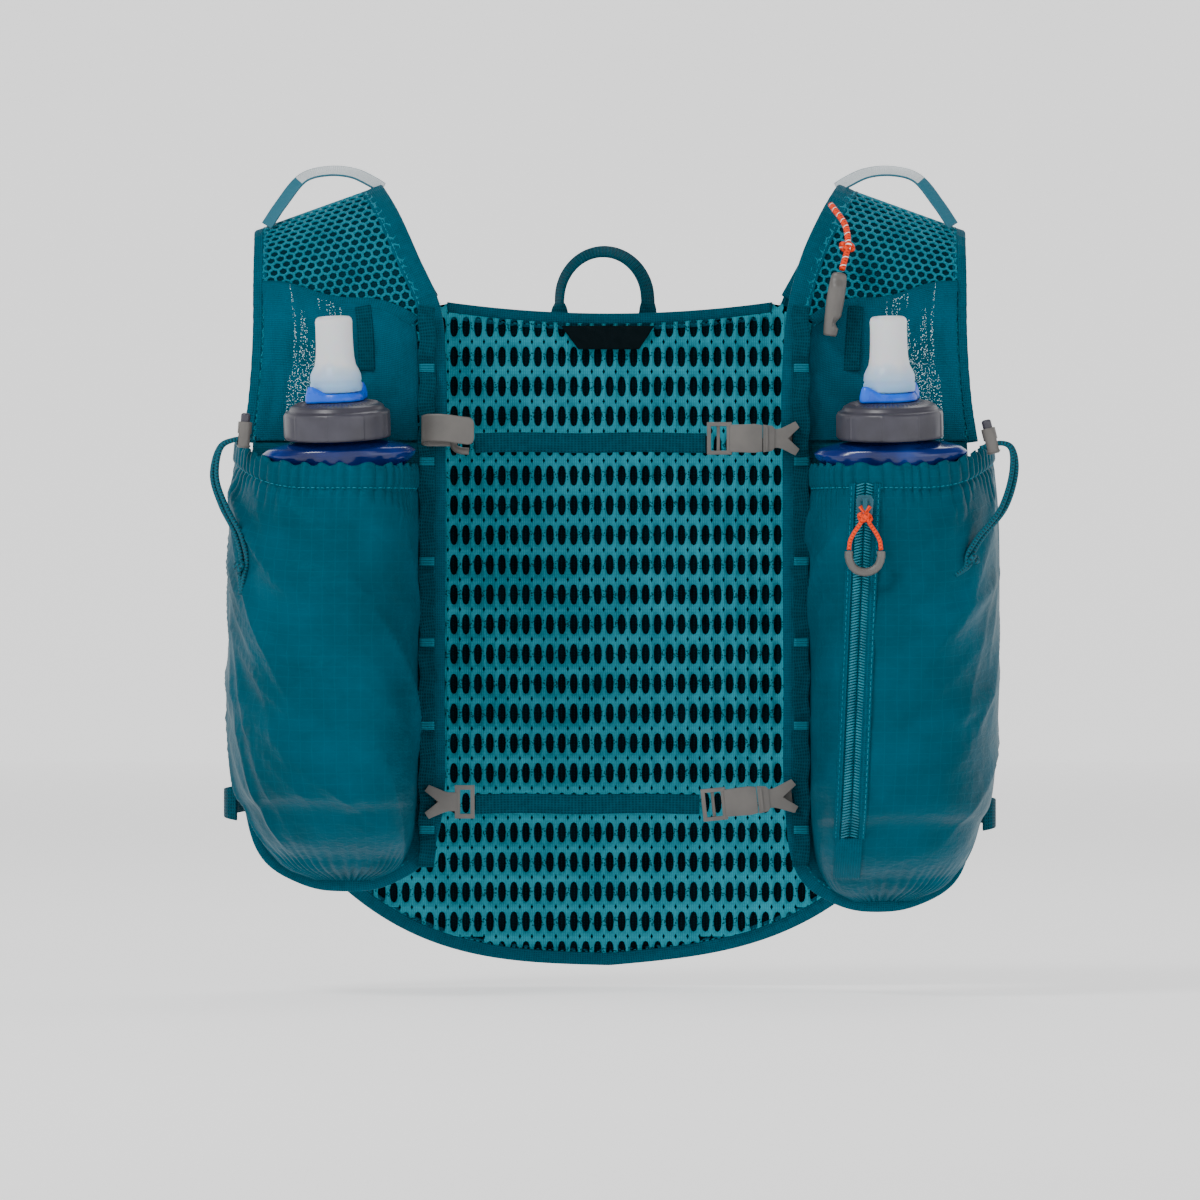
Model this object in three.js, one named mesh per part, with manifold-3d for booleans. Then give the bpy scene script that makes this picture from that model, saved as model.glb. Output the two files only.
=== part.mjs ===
// Hydration running vest with two soft flasks, as worn: millimetres, +Z up, -Y is the wearer's front.
// The origin is on the mid-plane, level with the top of the shoulder crest, halfway between chest and back.
import * as THREE from 'three';
import { mergeVertices } from 'three/addons/utils/BufferGeometryUtils.js';
import Module from 'manifold-3d';

const wasm = await Module();
wasm.setup();

// ---- driving dimensions -------------------------------------------------------------------------------

const GAP = 0.3; // between pieces that touch
const CHEST_Y = -62; // front panel's middle layer at its inner edge
const PANEL_OUTER_Y = -38; // the same at its outer edge
const PANEL_TOP_Z = -125; // seam between shoulder yoke and front panel
const PANEL_BOTTOM_Z = -342;
const PANEL_THICK = 3.2;
const BACK_Y = 60; // back panel's middle at the spine
const BACK_CURVE = 23; // how far the back panel comes forward at its side edges
const BACK_HALF_WIDTH = 156;
const BACK_TOP_Z = -60;
const SPACER_THICK = 4;
const SHELL_THICK = 1.4;
const BINDING_R = 2.5;
const EDGE_INSET = 2 * BINDING_R + GAP;
const SEAM_GAP = 1.2; // between the back panel and the shoulder yokes
const LADDER_WIDTH = 8;
const LADDER_THICK = 1.2;
const LADDER_BACK_Y = CHEST_Y - 4.6;
const TACK_BACK_Y = CHEST_Y - 2.1;
const POCKET_DEPTH = 70.5;
const POCKET_WALL = 1.2;
const POCKET_STANDOFF = 1.6; // clears the bindings
const POCKET_ROUND = 0.75; // superellipse exponent of the pocket's section
const FLASK_Y = -92;
const FLASK_TIP = 6; // degrees that a flask leans away from the chest
const FLASK_TOP_Z = -124.5;
const CAP_R = 25.5;
const CAP_H = 18;
const VALVE_TOP_Z = -66;
const WEBBING_HEIGHT = 9.6;
const WEBBING_THICK = 1.6;
const STRAP_Y = CHEST_Y - 7.6; // middle of the sternum straps' hardware
const STRAP_HARDWARE = 5; // thickness of its plastic
const CORD_R = 1.25;
const UPPER_STRAP_Z = -124;
const LOWER_STRAP_Z = -299.5;
const TACKS = [-60, -90, -135, -183, -222, -262, -312, -330];

const SIDES = {
  left: {
    sign: -1, inner: 79, pocketOuter: 183, drop: 0, flaskX: 130, flaskLean: -2,
    lock: { x: 174.5, z: -121, lean: 4 },
    cord: [[169, -96, -124.4], [180, -96, -125.2], [186, -96, -128], [190, -96, -141.6], [186, -98, -156],
      [179, -99, -170], [176, -99, -182]],
    knot: [176, -99, -186],
    tails: [[176.5, -99, -189], [176, -100, -199]],
  },
  right: {
    sign: 1, inner: 83, pocketOuter: 187, drop: 10, flaskX: 134, flaskLean: -1.2,
    lock: { x: 181.5, z: -124, lean: -14 },
    cord: [[176.6, -97, -129.2], [186.9, -97, -126.7], [191.6, -97, -128.4], [194, -98, -138],
      [189, -102, -157], [178, -106, -171],
      [173, -109, -179]],
    knot: [172, -109.5, -182],
    tails: [[171, -110, -185], [164, -115, -190]],
  },
};

// ---- materials ----------------------------------------------------------------------------------------

const fabric = (color, roughness) => ({ color, roughness, metalness: 0 });
const LOOKS = {
  spacer: fabric(0x1d8595, 0.75),
  net: fabric(0x0f6676, 0.6),
  knit: fabric(0x0d6574, 0.8),
  ripstop: fabric(0x025a6c, 0.42),
  webbing: fabric(0x07505f, 0.7),
  binding: fabric(0x06606f, 0.65),
  ribbon: fabric(0x9fb4b6, 0.35),
  label: fabric(0x111316, 0.6),
  orangeCord: fabric(0xee4f1a, 0.7),
  tealCord: fabric(0x0c5462, 0.7),
  greyPlastic: fabric(0x8f8a86, 0.5),
  capPlastic: fabric(0x55535c, 0.45),
  silicone: fabric(0xdfe6ea, 0.3),
  lever: fabric(0x1976e0, 0.35),
  film: fabric(0x0d3c9a, 0.15),
  coil: fabric(0x06414e, 0.5),
};

const group = new THREE.Group();

// Adds one named piece to the model.
function piece(name, geometry, look) {
  const mesh = new THREE.Mesh(geometry, new THREE.MeshStandardMaterial(LOOKS[look]));
  mesh.name = name;
  group.add(mesh);
  return mesh;
}

// ---- solids -------------------------------------------------------------------------------------------

const lerp = THREE.MathUtils.lerp;
const clamp = THREE.MathUtils.clamp;
const vec = (x, y, z) => new THREE.Vector3(x, y, z);

// Keeps only merged positions, and turns the faces outward.
function closed(geometry) {
  geometry.deleteAttribute('normal');
  geometry.deleteAttribute('uv');
  const merged = mergeVertices(geometry, 1e-4);
  const p = merged.attributes.position;
  const index = merged.index.array;
  let volume = 0;
  const [a, b, c] = [vec(0, 0, 0), vec(0, 0, 0), vec(0, 0, 0)];
  for (let i = 0; i < index.length; i += 3) {
    a.fromBufferAttribute(p, index[i]);
    b.fromBufferAttribute(p, index[i + 1]);
    c.fromBufferAttribute(p, index[i + 2]);
    volume += a.dot(b.cross(c));
  }
  if (volume < 0) {
    for (let i = 0; i < index.length; i += 3) {
      [index[i], index[i + 1]] = [index[i + 1], index[i]];
    }
  }
  return merged;
}

// A box of nu x nv x nw cells whose points are moved by at(u, v, w), each running from 0 to 1.
function warp(nu, nv, nw, at) {
  const box = new THREE.BoxGeometry(1, 1, 1, nu, nv, nw);
  const p = box.attributes.position;
  for (let i = 0; i < p.count; i++) {
    const q = at(p.getX(i) + 0.5, p.getY(i) + 0.5, p.getZ(i) + 0.5);
    p.setXYZ(i, q.x, q.y, q.z);
  }
  return closed(box);
}

// A sheet of the given thickness along a surface(u, v); offset moves it along the surface's normal.
function sheet(surface, nu, nv, thickness, offset = 0) {
  const e = 1e-3;
  return warp(nu, nv, 1, (u, v, w) => {
    const [u0, u1] = [Math.max(u - e, 0), Math.min(u + e, 1)];
    const [v0, v1] = [Math.max(v - e, 0), Math.min(v + e, 1)];
    const du = surface(u1, v).sub(surface(u0, v));
    const dv = surface(u, v1).sub(surface(u, v0));
    const normal = du.cross(dv).normalize();
    return surface(u, v).addScaledVector(normal, offset + (w - 0.5) * thickness);
  });
}

function circle(radius, sides) {
  const points = [];
  for (let i = 0; i < sides; i++) {
    const angle = (i / sides) * 2 * Math.PI;
    points.push(new THREE.Vector2(radius * Math.cos(angle), radius * Math.sin(angle)));
  }
  return new THREE.Shape(points);
}

// A round tube along hand-placed points.
function tube(points, radius, sides, steps) {
  const path = new THREE.CatmullRomCurve3(points.map((q) => vec(...q)), false, 'centripetal');
  const settings = { steps, extrudePath: path, bevelEnabled: false };
  return closed(new THREE.ExtrudeGeometry(circle(radius, sides), settings));
}

// An outline in x and z, standing up as a plate from yBack to yFront.
function plate(outline, yFront, yBack, holes = []) {
  const shape = new THREE.Shape(outline.map(([x, z]) => new THREE.Vector2(x, z)));
  for (const hole of holes) {
    shape.holes.push(new THREE.Path(hole.map(([x, z]) => new THREE.Vector2(x, z))));
  }
  const geometry = new THREE.ExtrudeGeometry(shape, { depth: yBack - yFront, bevelEnabled: false });
  return closed(geometry.rotateX(Math.PI / 2).translate(0, yBack, 0));
}

function rect(x0, x1, z0, z1) {
  return [[x0, z0], [x1, z0], [x1, z1], [x0, z1]];
}

function block(x0, x1, y0, y1, z0, z1) {
  const box = new THREE.BoxGeometry(x1 - x0, y1 - y0, z1 - z0);
  return closed(box.translate((x0 + x1) / 2, (y0 + y1) / 2, (z0 + z1) / 2));
}

// A turned solid about the vertical axis from [radius, z] pairs.
function turned(profile, segments) {
  const lathe = new THREE.LatheGeometry(profile.map(([r, z]) => new THREE.Vector2(r, z)), segments);
  return closed(lathe.rotateX(Math.PI / 2));
}

function toManifold(geometry) {
  return new wasm.Manifold(new wasm.Mesh({
    numProp: 3,
    vertProperties: new Float32Array(geometry.attributes.position.array),
    triVerts: new Uint32Array(geometry.index.array),
  }));
}

function fromManifold(solid) {
  const mesh = solid.getMesh();
  const geometry = new THREE.BufferGeometry();
  geometry.setAttribute('position', new THREE.BufferAttribute(mesh.vertProperties, 3));
  geometry.setIndex(new THREE.BufferAttribute(mesh.triVerts, 1));
  return geometry;
}

const joined = (...parts) => fromManifold(parts.map(toManifold).reduce((a, b) => a.add(b)));

function cut(body, ...tools) {
  return fromManifold(tools.map(toManifold).reduce((a, b) => a.subtract(b), toManifold(body)));
}

// ---- the vest's surfaces ------------------------------------------------------------------------------

const curve3 = (points) => new THREE.CatmullRomCurve3(points.map((q) => vec(...q)), false, 'centripetal');

// The inner (neck) and outer (arm) edges of one shoulder, from the chest seam over the crest to the back.
function shoulderRails(side) {
  const inner = curve3([
    [side.inner, CHEST_Y, PANEL_TOP_Z], [side.inner + 0.5, -61.5, -95], [side.inner + 3, -57, -62],
    [93, -45, -36], [103, -27, -14], [111, -2, -1], [106, 24, -12], [95, 43, -34], [84, 52.5, -54]]);
  const outer = curve3([
    [178, PANEL_OUTER_Y, PANEL_TOP_Z], [175, -37, -105], [173, -34, -75],
    [173, -28, -50], [173, -16, -32], [173, 4, -23], [170, 22, -34], [164, 33, -62], [156, 36.5, -100]]);
  return [inner, outer];
}

// The inner and outer edges of one front panel, from the chest seam down to its rounded bottom.
function panelRails(side) {
  const bottom = PANEL_BOTTOM_Z - side.drop;
  const inner = curve3([
    [side.inner, CHEST_Y, PANEL_TOP_Z], [side.inner, CHEST_Y, -185], [side.inner + 0.5, CHEST_Y, -245],
    [side.inner + 1, CHEST_Y, -300], [side.inner + 8, CHEST_Y + 1, bottom + 15],
    [side.inner + 33, CHEST_Y + 3, bottom]]);
  const outer = curve3([
    [178, PANEL_OUTER_Y, PANEL_TOP_Z], [181, PANEL_OUTER_Y, -185], [180, PANEL_OUTER_Y, -245],
    [177, PANEL_OUTER_Y - 1, -300], [168, PANEL_OUTER_Y - 4, bottom + 14],
    [142, PANEL_OUTER_Y - 12, bottom]]);
  return [inner, outer];
}

// The cloth between two edges; it stays flat near the inner edge and turns back towards the outer one.
function clothBetween([inner, outer], side) {
  return (t, b) => {
    const p = inner.getPoint(t);
    const q = outer.getPoint(t);
    const y = lerp(p.y, q.y, b ** 1.5);
    return vec(side.sign * lerp(p.x, q.x, b), y, lerp(p.z, q.z, b));
  };
}

// How far along the line between two rails a point lies that is a given distance in from one of them.
function inwardShare(rails, t, fromInner, distance) {
  const across = rails[1].getPoint(t).sub(rails[0].getPoint(t));
  const width = across.length();
  const along = rails[fromInner ? 0 : 1].getTangent(t);
  const sine = Math.max(along.cross(across.divideScalar(width)).length(), 0.35);
  const share = distance / sine / width;
  return fromInner ? share : 1 - share;
}

// The same cloth, with its edges held in from the rails.
function insetCloth(rails, side, inset, t0 = 0, t1 = 1) {
  const cloth = clothBetween(rails, side);
  return (u, v) => {
    const t = lerp(t0, t1, u);
    return cloth(t, lerp(inwardShare(rails, t, true, inset), inwardShare(rails, t, false, inset), v));
  };
}

// Where a front panel's middle layer lies in depth, at a place across and up it.
function panelY(side, rails, x, z) {
  let [t0, t1] = [0, 1];
  for (let i = 0; i < 20; i++) {
    const t = (t0 + t1) / 2;
    [t0, t1] = rails[0].getPoint(t).z > z ? [t, t1] : [t0, t];
  }
  const [p, q] = rails.map((rail) => rail.getPoint(t0));
  return lerp(p.y, q.y, clamp((x - p.x) / (q.x - p.x), 0, 1) ** 1.5);
}

function backTop(x) {
  const a = Math.abs(x);
  const collar = BACK_TOP_Z + 6 * (a / 84) ** 2;
  return a < 84 ? collar : lerp(-54, -100, (a - 84) / (BACK_HALF_WIDTH - 84));
}

// The bottom edge sags to its lowest point under the spine; the wearer's right side hangs a little higher.
function backBottom(x) {
  const s = Math.abs(x) / BACK_HALF_WIDTH;
  const flat = -382 + (x > 0 ? 14 : 4) * s;
  return flat + 62 * s ** 3.2;
}

function backY(x, z) {
  const lumbar = -7 * Math.sin(clamp((BACK_TOP_Z - z) / 320, 0, 1) * Math.PI * 0.9) ** 2;
  return BACK_Y - BACK_CURVE * (x / BACK_HALF_WIDTH) ** 2 + lumbar;
}

// A stretch of the back cloth; margins in millimetres hold it in from the collar, the sides and the hem.
function backCloth(side, top, hem) {
  return (u, v) => {
    const x = lerp(-BACK_HALF_WIDTH + side, BACK_HALF_WIDTH - side, u);
    const slope = (backBottom(x + 1) - backBottom(x - 1)) / 2;
    const margin = Math.abs(x) < 80 ? top : SEAM_GAP;
    const z = lerp(backBottom(x) + hem * Math.hypot(1, slope), backTop(x) - margin, v);
    return vec(x, backY(x, z), z);
  };
}

// ---- back ---------------------------------------------------------------------------------------------

const backPanel = backCloth(EDGE_INSET, EDGE_INSET, EDGE_INSET + 1.2);
piece('back_spacer_mesh', sheet(backPanel, 16, 8, SPACER_THICK), 'spacer');

const SHELL_OFFSET = -(SPACER_THICK + SHELL_THICK) / 2 - GAP;
piece('back_shell', sheet(backPanel, 16, 8, SHELL_THICK, SHELL_OFFSET), 'knit');

// The stash pocket bulges behind the shell and is open along its top edge.
function stashPocket() {
  const [top, bottom, halfWidth, depth] = [-150, -368, 118, 24];
  const behind = SPACER_THICK / 2 + SHELL_THICK + 2 * GAP;
  return warp(14, 6, 1, (u, v, w) => {
    const angle = u * Math.PI;
    const c = -Math.cos(angle);
    const s = Math.sin(angle) ** 0.8;
    const x = c * (halfWidth - (1 - w) * POCKET_WALL);
    const low = Math.max(bottom, backBottom(x) + EDGE_INSET + 2);
    const z = lerp(low, top + 18 * c * c, v);
    const bag = Math.sin(Math.min(v * 1.4, 1) * Math.PI / 2) ** 0.7;
    const reach = lerp(POCKET_WALL + 0.5, depth, bag) - (1 - w) * POCKET_WALL;
    return vec(x, backY(x, z) + behind + reach * s, z);
  });
}
piece('back_stash_pocket', stashPocket(), 'ripstop');

function edgePath(count, at) {
  const points = [];
  for (let i = 0; i <= count; i++) {
    points.push(at(i / count));
  }
  return points;
}

function backEdgePoint(x, z) {
  return [x, backY(x, z) + 1, z];
}

const hemHalf = BACK_HALF_WIDTH - EDGE_INSET;
const hemPath = edgePath(10, (t) => {
  const x = lerp(-hemHalf, hemHalf, t);
  const slope = (backBottom(x + 1) - backBottom(x - 1)) / 2;
  return backEdgePoint(x, backBottom(x) + BINDING_R * Math.hypot(1, slope));
});
piece('hem_binding', tube(hemPath, BINDING_R, 6, 22), 'binding');

const collarPath = edgePath(8, (t) => {
  const x = lerp(-80, 80, t);
  return backEdgePoint(x, backTop(x) - BINDING_R);
});
piece('neck_binding', tube(collarPath, BINDING_R, 6, 12), 'binding');

// ---- haul loop and collar label -----------------------------------------------------------------------

const HAUL = { left: -28, right: 22, top: -26.4, bottom: -63, archHeight: 27, band: 6.4 };

function haulOutline(inset) {
  const middle = (HAUL.left + HAUL.right) / 2;
  const halfWidth = (HAUL.right - HAUL.left) / 2 - inset;
  const points = [[middle + halfWidth, HAUL.bottom]];
  for (let i = 0; i <= 14; i++) {
    const a = (i / 14) * Math.PI;
    const rise = (HAUL.archHeight - inset) * (Math.sin(a) - 1);
    points.push([middle + halfWidth * Math.cos(a), HAUL.top - inset + rise]);
  }
  points.push([middle - halfWidth, HAUL.bottom]);
  return points;
}

const HAUL_Y = BACK_Y + 5.2;
const haulShape = [...haulOutline(0), ...haulOutline(HAUL.band).reverse()];
piece('haul_loop', plate(haulShape, HAUL_Y - WEBBING_THICK / 2, HAUL_Y + WEBBING_THICK / 2), 'webbing');

const LABEL_FRONT_Y = BACK_Y - SPACER_THICK / 2 - GAP - 2.4;
piece('collar_label', plate([[-24, -66.5], [22, -66.5], [14.5, -78], [-15.5, -78]],
  LABEL_FRONT_Y, LABEL_FRONT_Y + 0.9), 'label');

// ---- shoulders and front panels -----------------------------------------------------------------------

const LADDER_IN = EDGE_INSET - 0.3;
const LADDER_OUT = LADDER_IN + LADDER_WIDTH;

// Ladder webbing: sewn down at each tack, standing off the panel in between so that a hook can pass behind.
function ladder(side, tacks) {
  const [x0, x1] = [side.inner + LADDER_IN, side.inner + LADDER_OUT];
  const stations = tacks.flatMap((z) => [[z + 6, LADDER_BACK_Y], [z + 2, TACK_BACK_Y], [z - 2, TACK_BACK_Y],
    [z - 6, LADDER_BACK_Y]]).slice(1, -1);
  return warp(1, stations.length - 1, 1, (u, v, w) => {
    const [z, back] = stations[Math.round((1 - v) * (stations.length - 1))];
    return vec(side.sign * lerp(x0, x1, u), back - w * LADDER_THICK, z);
  });
}

// One side's bag, open at the top: half a superellipse in section, pinched shut at its bottom seam.
function pocketFrame(side) {
  const bottom = PANEL_BOTTOM_Z - side.drop + EDGE_INSET;
  const innerX = side.inner + LADDER_OUT + 0.5;
  const rows = curve3([
    // height as a share of the bag, inner edge, outer edge
    [1, innerX, side.pocketOuter - 3], [0.72, innerX, side.pocketOuter + 1],
    [0.4, innerX, side.pocketOuter], [0.16, innerX + 1, side.pocketOuter - 9],
    [0.05, innerX + 7, side.pocketOuter - 22], [0, innerX + 21, side.pocketOuter - 41]]);
  const depths = curve3([[1, 65, 0], [0.72, POCKET_DEPTH, 0], [0.4, POCKET_DEPTH, 0], [0.16, 50, 0],
    [0.05, 22, 0], [0, POCKET_WALL + 0.4, 0]]);
  return (t) => {
    const row = rows.getPoint(t);
    return { share: row.x, x0: row.y, x1: row.z, depth: depths.getPoint(t).y, bottom };
  };
}

const POCKET_RIM_Z = -137;

function pocketPoint(side, t, c, s, inward) {
  const row = pocketFrame(side)(t);
  const half = (row.x1 - row.x0) / 2;
  const offset = c * (half - inward);
  const x = (row.x0 + row.x1) / 2 + offset;
  const rim = POCKET_RIM_Z + 17 * clamp(offset / 48, 0, 1) ** 3;
  const z = lerp(row.bottom, rim, row.share);
  const seam = panelY(side, panelRails(side), x, z) - PANEL_THICK / 2 - POCKET_STANDOFF;
  return vec(side.sign * x, seam - s * (row.depth - inward), z);
}

function flaskPocket(side) {
  return warp(14, 9, 1, (u, v, w) => {
    const angle = u * Math.PI;
    const c = -Math.sign(Math.cos(angle)) * Math.abs(Math.cos(angle)) ** POCKET_ROUND;
    const s = Math.sin(angle) ** POCKET_ROUND;
    return pocketPoint(side, 1 - v, c, s, (1 - w) * POCKET_WALL);
  });
}

function bindingAlong(rails, side, inset, fromInner, t0, t1, count) {
  const cloth = clothBetween(rails, side);
  return edgePath(count, (k) => {
    const t = lerp(t0, t1, k);
    return cloth(t, inwardShare(rails, t, fromInner, inset)).toArray();
  });
}

function bottomBindingPath(side, rails) {
  const cloth = clothBetween(rails, side);
  const down = bindingAlong(rails, side, BINDING_R, true, 0.02, 0.93, 7);
  const foot = [0.25, 0.5, 0.75].map((b) => cloth(0.985, b).add(vec(0, 0, BINDING_R)).toArray());
  const up = bindingAlong(rails, side, BINDING_R, false, 0.93, 0.05, 7);
  return [...down, ...foot, ...up];
}

// The stretch pocket lies flat on the chest behind the flask's neck; its hem slopes down to the inner edge.
function stretchPocket(side, rails) {
  const cloth = clothBetween(rails, side);
  return sheet((u, v) => {
    const b = lerp(0.21, 0.9, v);
    const top = lerp(0.27, 0.375, v);
    return cloth(lerp(0.01, top, u), b);
  }, 4, 5, 1, side.sign * (PANEL_THICK / 2 + 0.5 + 2 * GAP));
}

// A reflective ribbon loop that arches over the shoulder crest from the arm side to the neck side.
function shoulderLoop(side) {
  const line = curve3([[167, -5, -19.5], [160, -5, -9], [149, -4, 4], [137, -3, 7.4], [125, -2, 7],
    [116, -1, 3.6]]);
  return warp(10, 1, 1, (u, v, w) => {
    const p = line.getPoint(u);
    const q = line.getTangent(u);
    const rise = 1.1 * (w - 0.5);
    return vec(side.sign * (p.x - q.z * rise), p.y + 8 * (v - 0.5), p.z + q.x * rise);
  });
}

// The side panel closes the flank between the front panel's outer binding and the back panel's side edge.
function sidePanel(side) {
  const seamGap = 0.9 + GAP;
  return sheet((u, v) => {
    const z = lerp(-306, -190, v);
    const front = vec(178.3 - 0.028 * (-188 - z), PANEL_OUTER_Y + BINDING_R + GAP, z);
    const rear = vec(BACK_HALF_WIDTH - EDGE_INSET + seamGap, backY(BACK_HALF_WIDTH, z), z + 8 * (v - 0.5));
    const p = front.lerp(rear, u);
    return vec(side.sign * (p.x + 8 * Math.sin(Math.PI * u)), p.y, p.z);
  }, 5, 5, 1.6);
}

// The side adjuster is a narrow strap bowed out past the pocket.
function sideStrap(side) {
  const z = -300 - side.drop / 2;
  const line = curve3([[181, -26, z], [185.5, -21, z], [187, -8, z], [183, 12, z], [172, 28, z + 1],
    [163, 33, z + 2]]);
  return warp(12, 1, 1, (u, v, w) => {
    const p = line.getPoint(u);
    const q = line.getTangent(u);
    const out = 1.2 * (w - 0.5);
    const height = 8 + 9 * (1 - u);
    return vec(side.sign * (p.x + q.y * out), p.y - q.x * out, p.z + height * (v - 0.5));
  });
}

for (const [name, side] of Object.entries(SIDES)) {
  const shoulder = shoulderRails(side);
  const panel = panelRails(side);
  const middle = insetCloth(shoulder, side, EDGE_INSET, 0.004, 0.985);
  piece(`shoulder_yoke_${name}`, sheet(middle, 16, 4, PANEL_THICK), 'net');
  const lower = insetCloth(panel, side, EDGE_INSET + 0.9, 0.004, 0.82);
  piece(`front_panel_${name}`, sheet(lower, 9, 5, PANEL_THICK), 'knit');
  piece(`flask_pocket_${name}`, flaskPocket(side), 'ripstop');
  piece(`stretch_pocket_${name}`, stretchPocket(side, shoulder), 'knit');
  piece(`ladder_webbing_${name}`, ladder(side, TACKS), 'webbing');
  const neckEdge = bindingAlong(shoulder, side, BINDING_R, true, 0.01, 0.985, 12);
  piece(`neck_edge_binding_${name}`, tube(neckEdge, BINDING_R, 6, 22), 'binding');
  const armEdge = bindingAlong(shoulder, side, BINDING_R, false, 0.01, 0.985, 12);
  piece(`arm_binding_${name}`, tube(armEdge, BINDING_R, 6, 20), 'binding');
  piece(`panel_binding_${name}`, tube(bottomBindingPath(side, panel), BINDING_R, 6, 30), 'binding');
  piece(`shoulder_loop_${name}`, shoulderLoop(side), 'ribbon');
  piece(`side_panel_${name}`, sidePanel(side), 'knit');
  piece(`side_strap_${name}`, sideStrap(side), 'webbing');
}

// ---- soft flasks --------------------------------------------------------------------------------------

// The flask is round at its neck, widest just above the bag's rim, and flat and narrower down in the bag.
function flaskBody() {
  const rows = [
    // height, half width, half depth
    [-168, 0, 0], [-167, 16, 8], [-158, 25, 13], [-140, 28, 17], [-100, 30, 21], [-22, 30.2, 23.5],
    [-12.6, 30.4, 23.5], [-10.2, 34, 23.5], [-7, 37, 23.5], [-4, 32, 22.5], [-1.5, 22, 18], [0, 14, 14],
    [3, 14, 14], [3, 0, 0]];
  const profile = rows.map(([z, halfWidth], i) => [halfWidth ? 1 : 0, z + i * 1e-3]);
  const geometry = turned(profile, 18);
  const p = geometry.attributes.position;
  for (let i = 0; i < p.count; i++) {
    const k = rows.findIndex(([z], j) => Math.abs(z + j * 1e-3 - p.getZ(i)) < 5e-4);
    p.setXYZ(i, p.getX(i) * rows[k][1], p.getY(i) * rows[k][2], rows[k][0]);
  }
  return closed(geometry);
}

// Screw cap: a socket for the neck below, grip ribs round its skirt, and a boss for the valve on top.
function flaskCap() {
  const [rim, top] = [0.4, CAP_H];
  const profile = [[0, 3.6], [14.6, 3.6], [14.6, rim], [CAP_R - 0.6, rim], [CAP_R, rim + 1.5],
    [CAP_R - 0.8, top - 6.5], [CAP_R - 2.8, top - 3], [14.5, top], [0, top]];
  const body = turned(profile, 24);
  const ribs = [];
  for (let i = 0; i < 8; i++) {
    const rib = block(CAP_R - 2.5, CAP_R + 0.3, -0.8, 0.8, rim + 1, top - 6);
    ribs.push(rib.rotateZ(((i + 0.5) / 8) * 2 * Math.PI));
  }
  return joined(body, ...ribs);
}

// Shut-off lever: a ring under the valve with two finger wings.
function valveLever() {
  const low = CAP_H + GAP;
  const ring = turned([[9.2, low], [13.4, low], [13.4, low + 2.6], [12.4, low + 4], [9.2, low + 4],
    [9.2, low]], 16);
  const wings = [-0.22, 0.78].map((turn) => {
    const wing = plate([[10.5, low], [17.5, low], [18.5, low + 3.5], [15.8, low + 7.5], [13.6, low + 6.2],
      [13.6, low + 3.8], [10.5, low + 3.8]], -2.2, 2.2);
    return wing.rotateZ(-turn * Math.PI);
  });
  return joined(ring, ...wings);
}

// Bite valve: a soft sleeve on a round foot, with the drinking slit's recess on top.
function biteValve() {
  const low = CAP_H + GAP;
  const top = VALVE_TOP_Z - FLASK_TOP_Z;
  return turned([[0, low], [8.9, low], [8.9, low + 4.3], [12.3, low + 4.6], [12.6, low + 8],
    [12.2, low + 13], [9.6, low + 17], [8.9, top - 4], [8.6, top - 1], [7.6, top], [5.5, top],
    [4.5, top - 1.2], [0, top - 1.2]], 16);
}

for (const [name, side] of Object.entries(SIDES)) {
  const flask = new THREE.Group();
  const pieces = [
    piece(`flask_body_${name}`, flaskBody(), 'film'),
    piece(`flask_cap_${name}`, flaskCap(), 'capPlastic'),
    piece(`valve_lever_${name}`, valveLever(), 'lever'),
    piece(`bite_valve_${name}`, biteValve(), 'silicone'),
  ];
  flask.add(...pieces);
  flask.position.set(side.sign * side.flaskX, FLASK_Y, FLASK_TOP_Z);
  flask.rotation.set(THREE.MathUtils.degToRad(FLASK_TIP), THREE.MathUtils.degToRad(side.flaskLean), 0);
  group.add(flask);
}

// ---- sternum straps -----------------------------------------------------------------------------------

const HARDWARE_FRONT = STRAP_Y - STRAP_HARDWARE / 2;
const HARDWARE_BACK = STRAP_Y + STRAP_HARDWARE / 2;
const HOOK_BACK = LADDER_BACK_Y + GAP; // front face of the tongue behind the ladder webbing
const TONGUE_BACK = HOOK_BACK + 1.4;
const ARMS_BACK = LADDER_BACK_Y - LADDER_THICK - GAP;

// A V hook around the ladder webbing: two arms in front, one tongue behind. It opens towards +x from neckX.
function hook(neckX, reach, z) {
  const tip = neckX + reach;
  const arms = plate([[neckX, z - 4], [neckX, z + 4], [neckX + 4, z + 5], [tip - 1, z + 8.2],
    [tip + 1, z + 5.2], [neckX + 7, z], [tip + 1, z - 5.2], [tip - 1, z - 8.2], [neckX + 4, z - 5]],
  HARDWARE_FRONT + 0.4, ARMS_BACK);
  const neck = plate(rect(neckX - 1, neckX + 2.5, z - 4.5, z + 4.5), HARDWARE_FRONT + 0.4, TONGUE_BACK);
  const tongue = plate(rect(neckX + 1, tip - 1.5, z - 3.5, z + 3.5), HOOK_BACK, TONGUE_BACK);
  return joined(arms, neck, tongue);
}

// Female half: the hook, a ridged collar and a socket plate, at x and z 0 on the collar's near face.
function buckleFemale(reach) {
  const collar = plate([[0, -6.6], [4.4, -6], [5.6, -4.6], [5.6, 4.6], [4.4, 6], [0, 6.6]], HARDWARE_FRONT,
    HARDWARE_BACK);
  const ridge = block(1.2, 2.4, HARDWARE_FRONT - 0.7, HARDWARE_BACK + 0.3, -5.6, 5.6);
  return joined(collar, ridge, hook(5, reach, 0));
}

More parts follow.
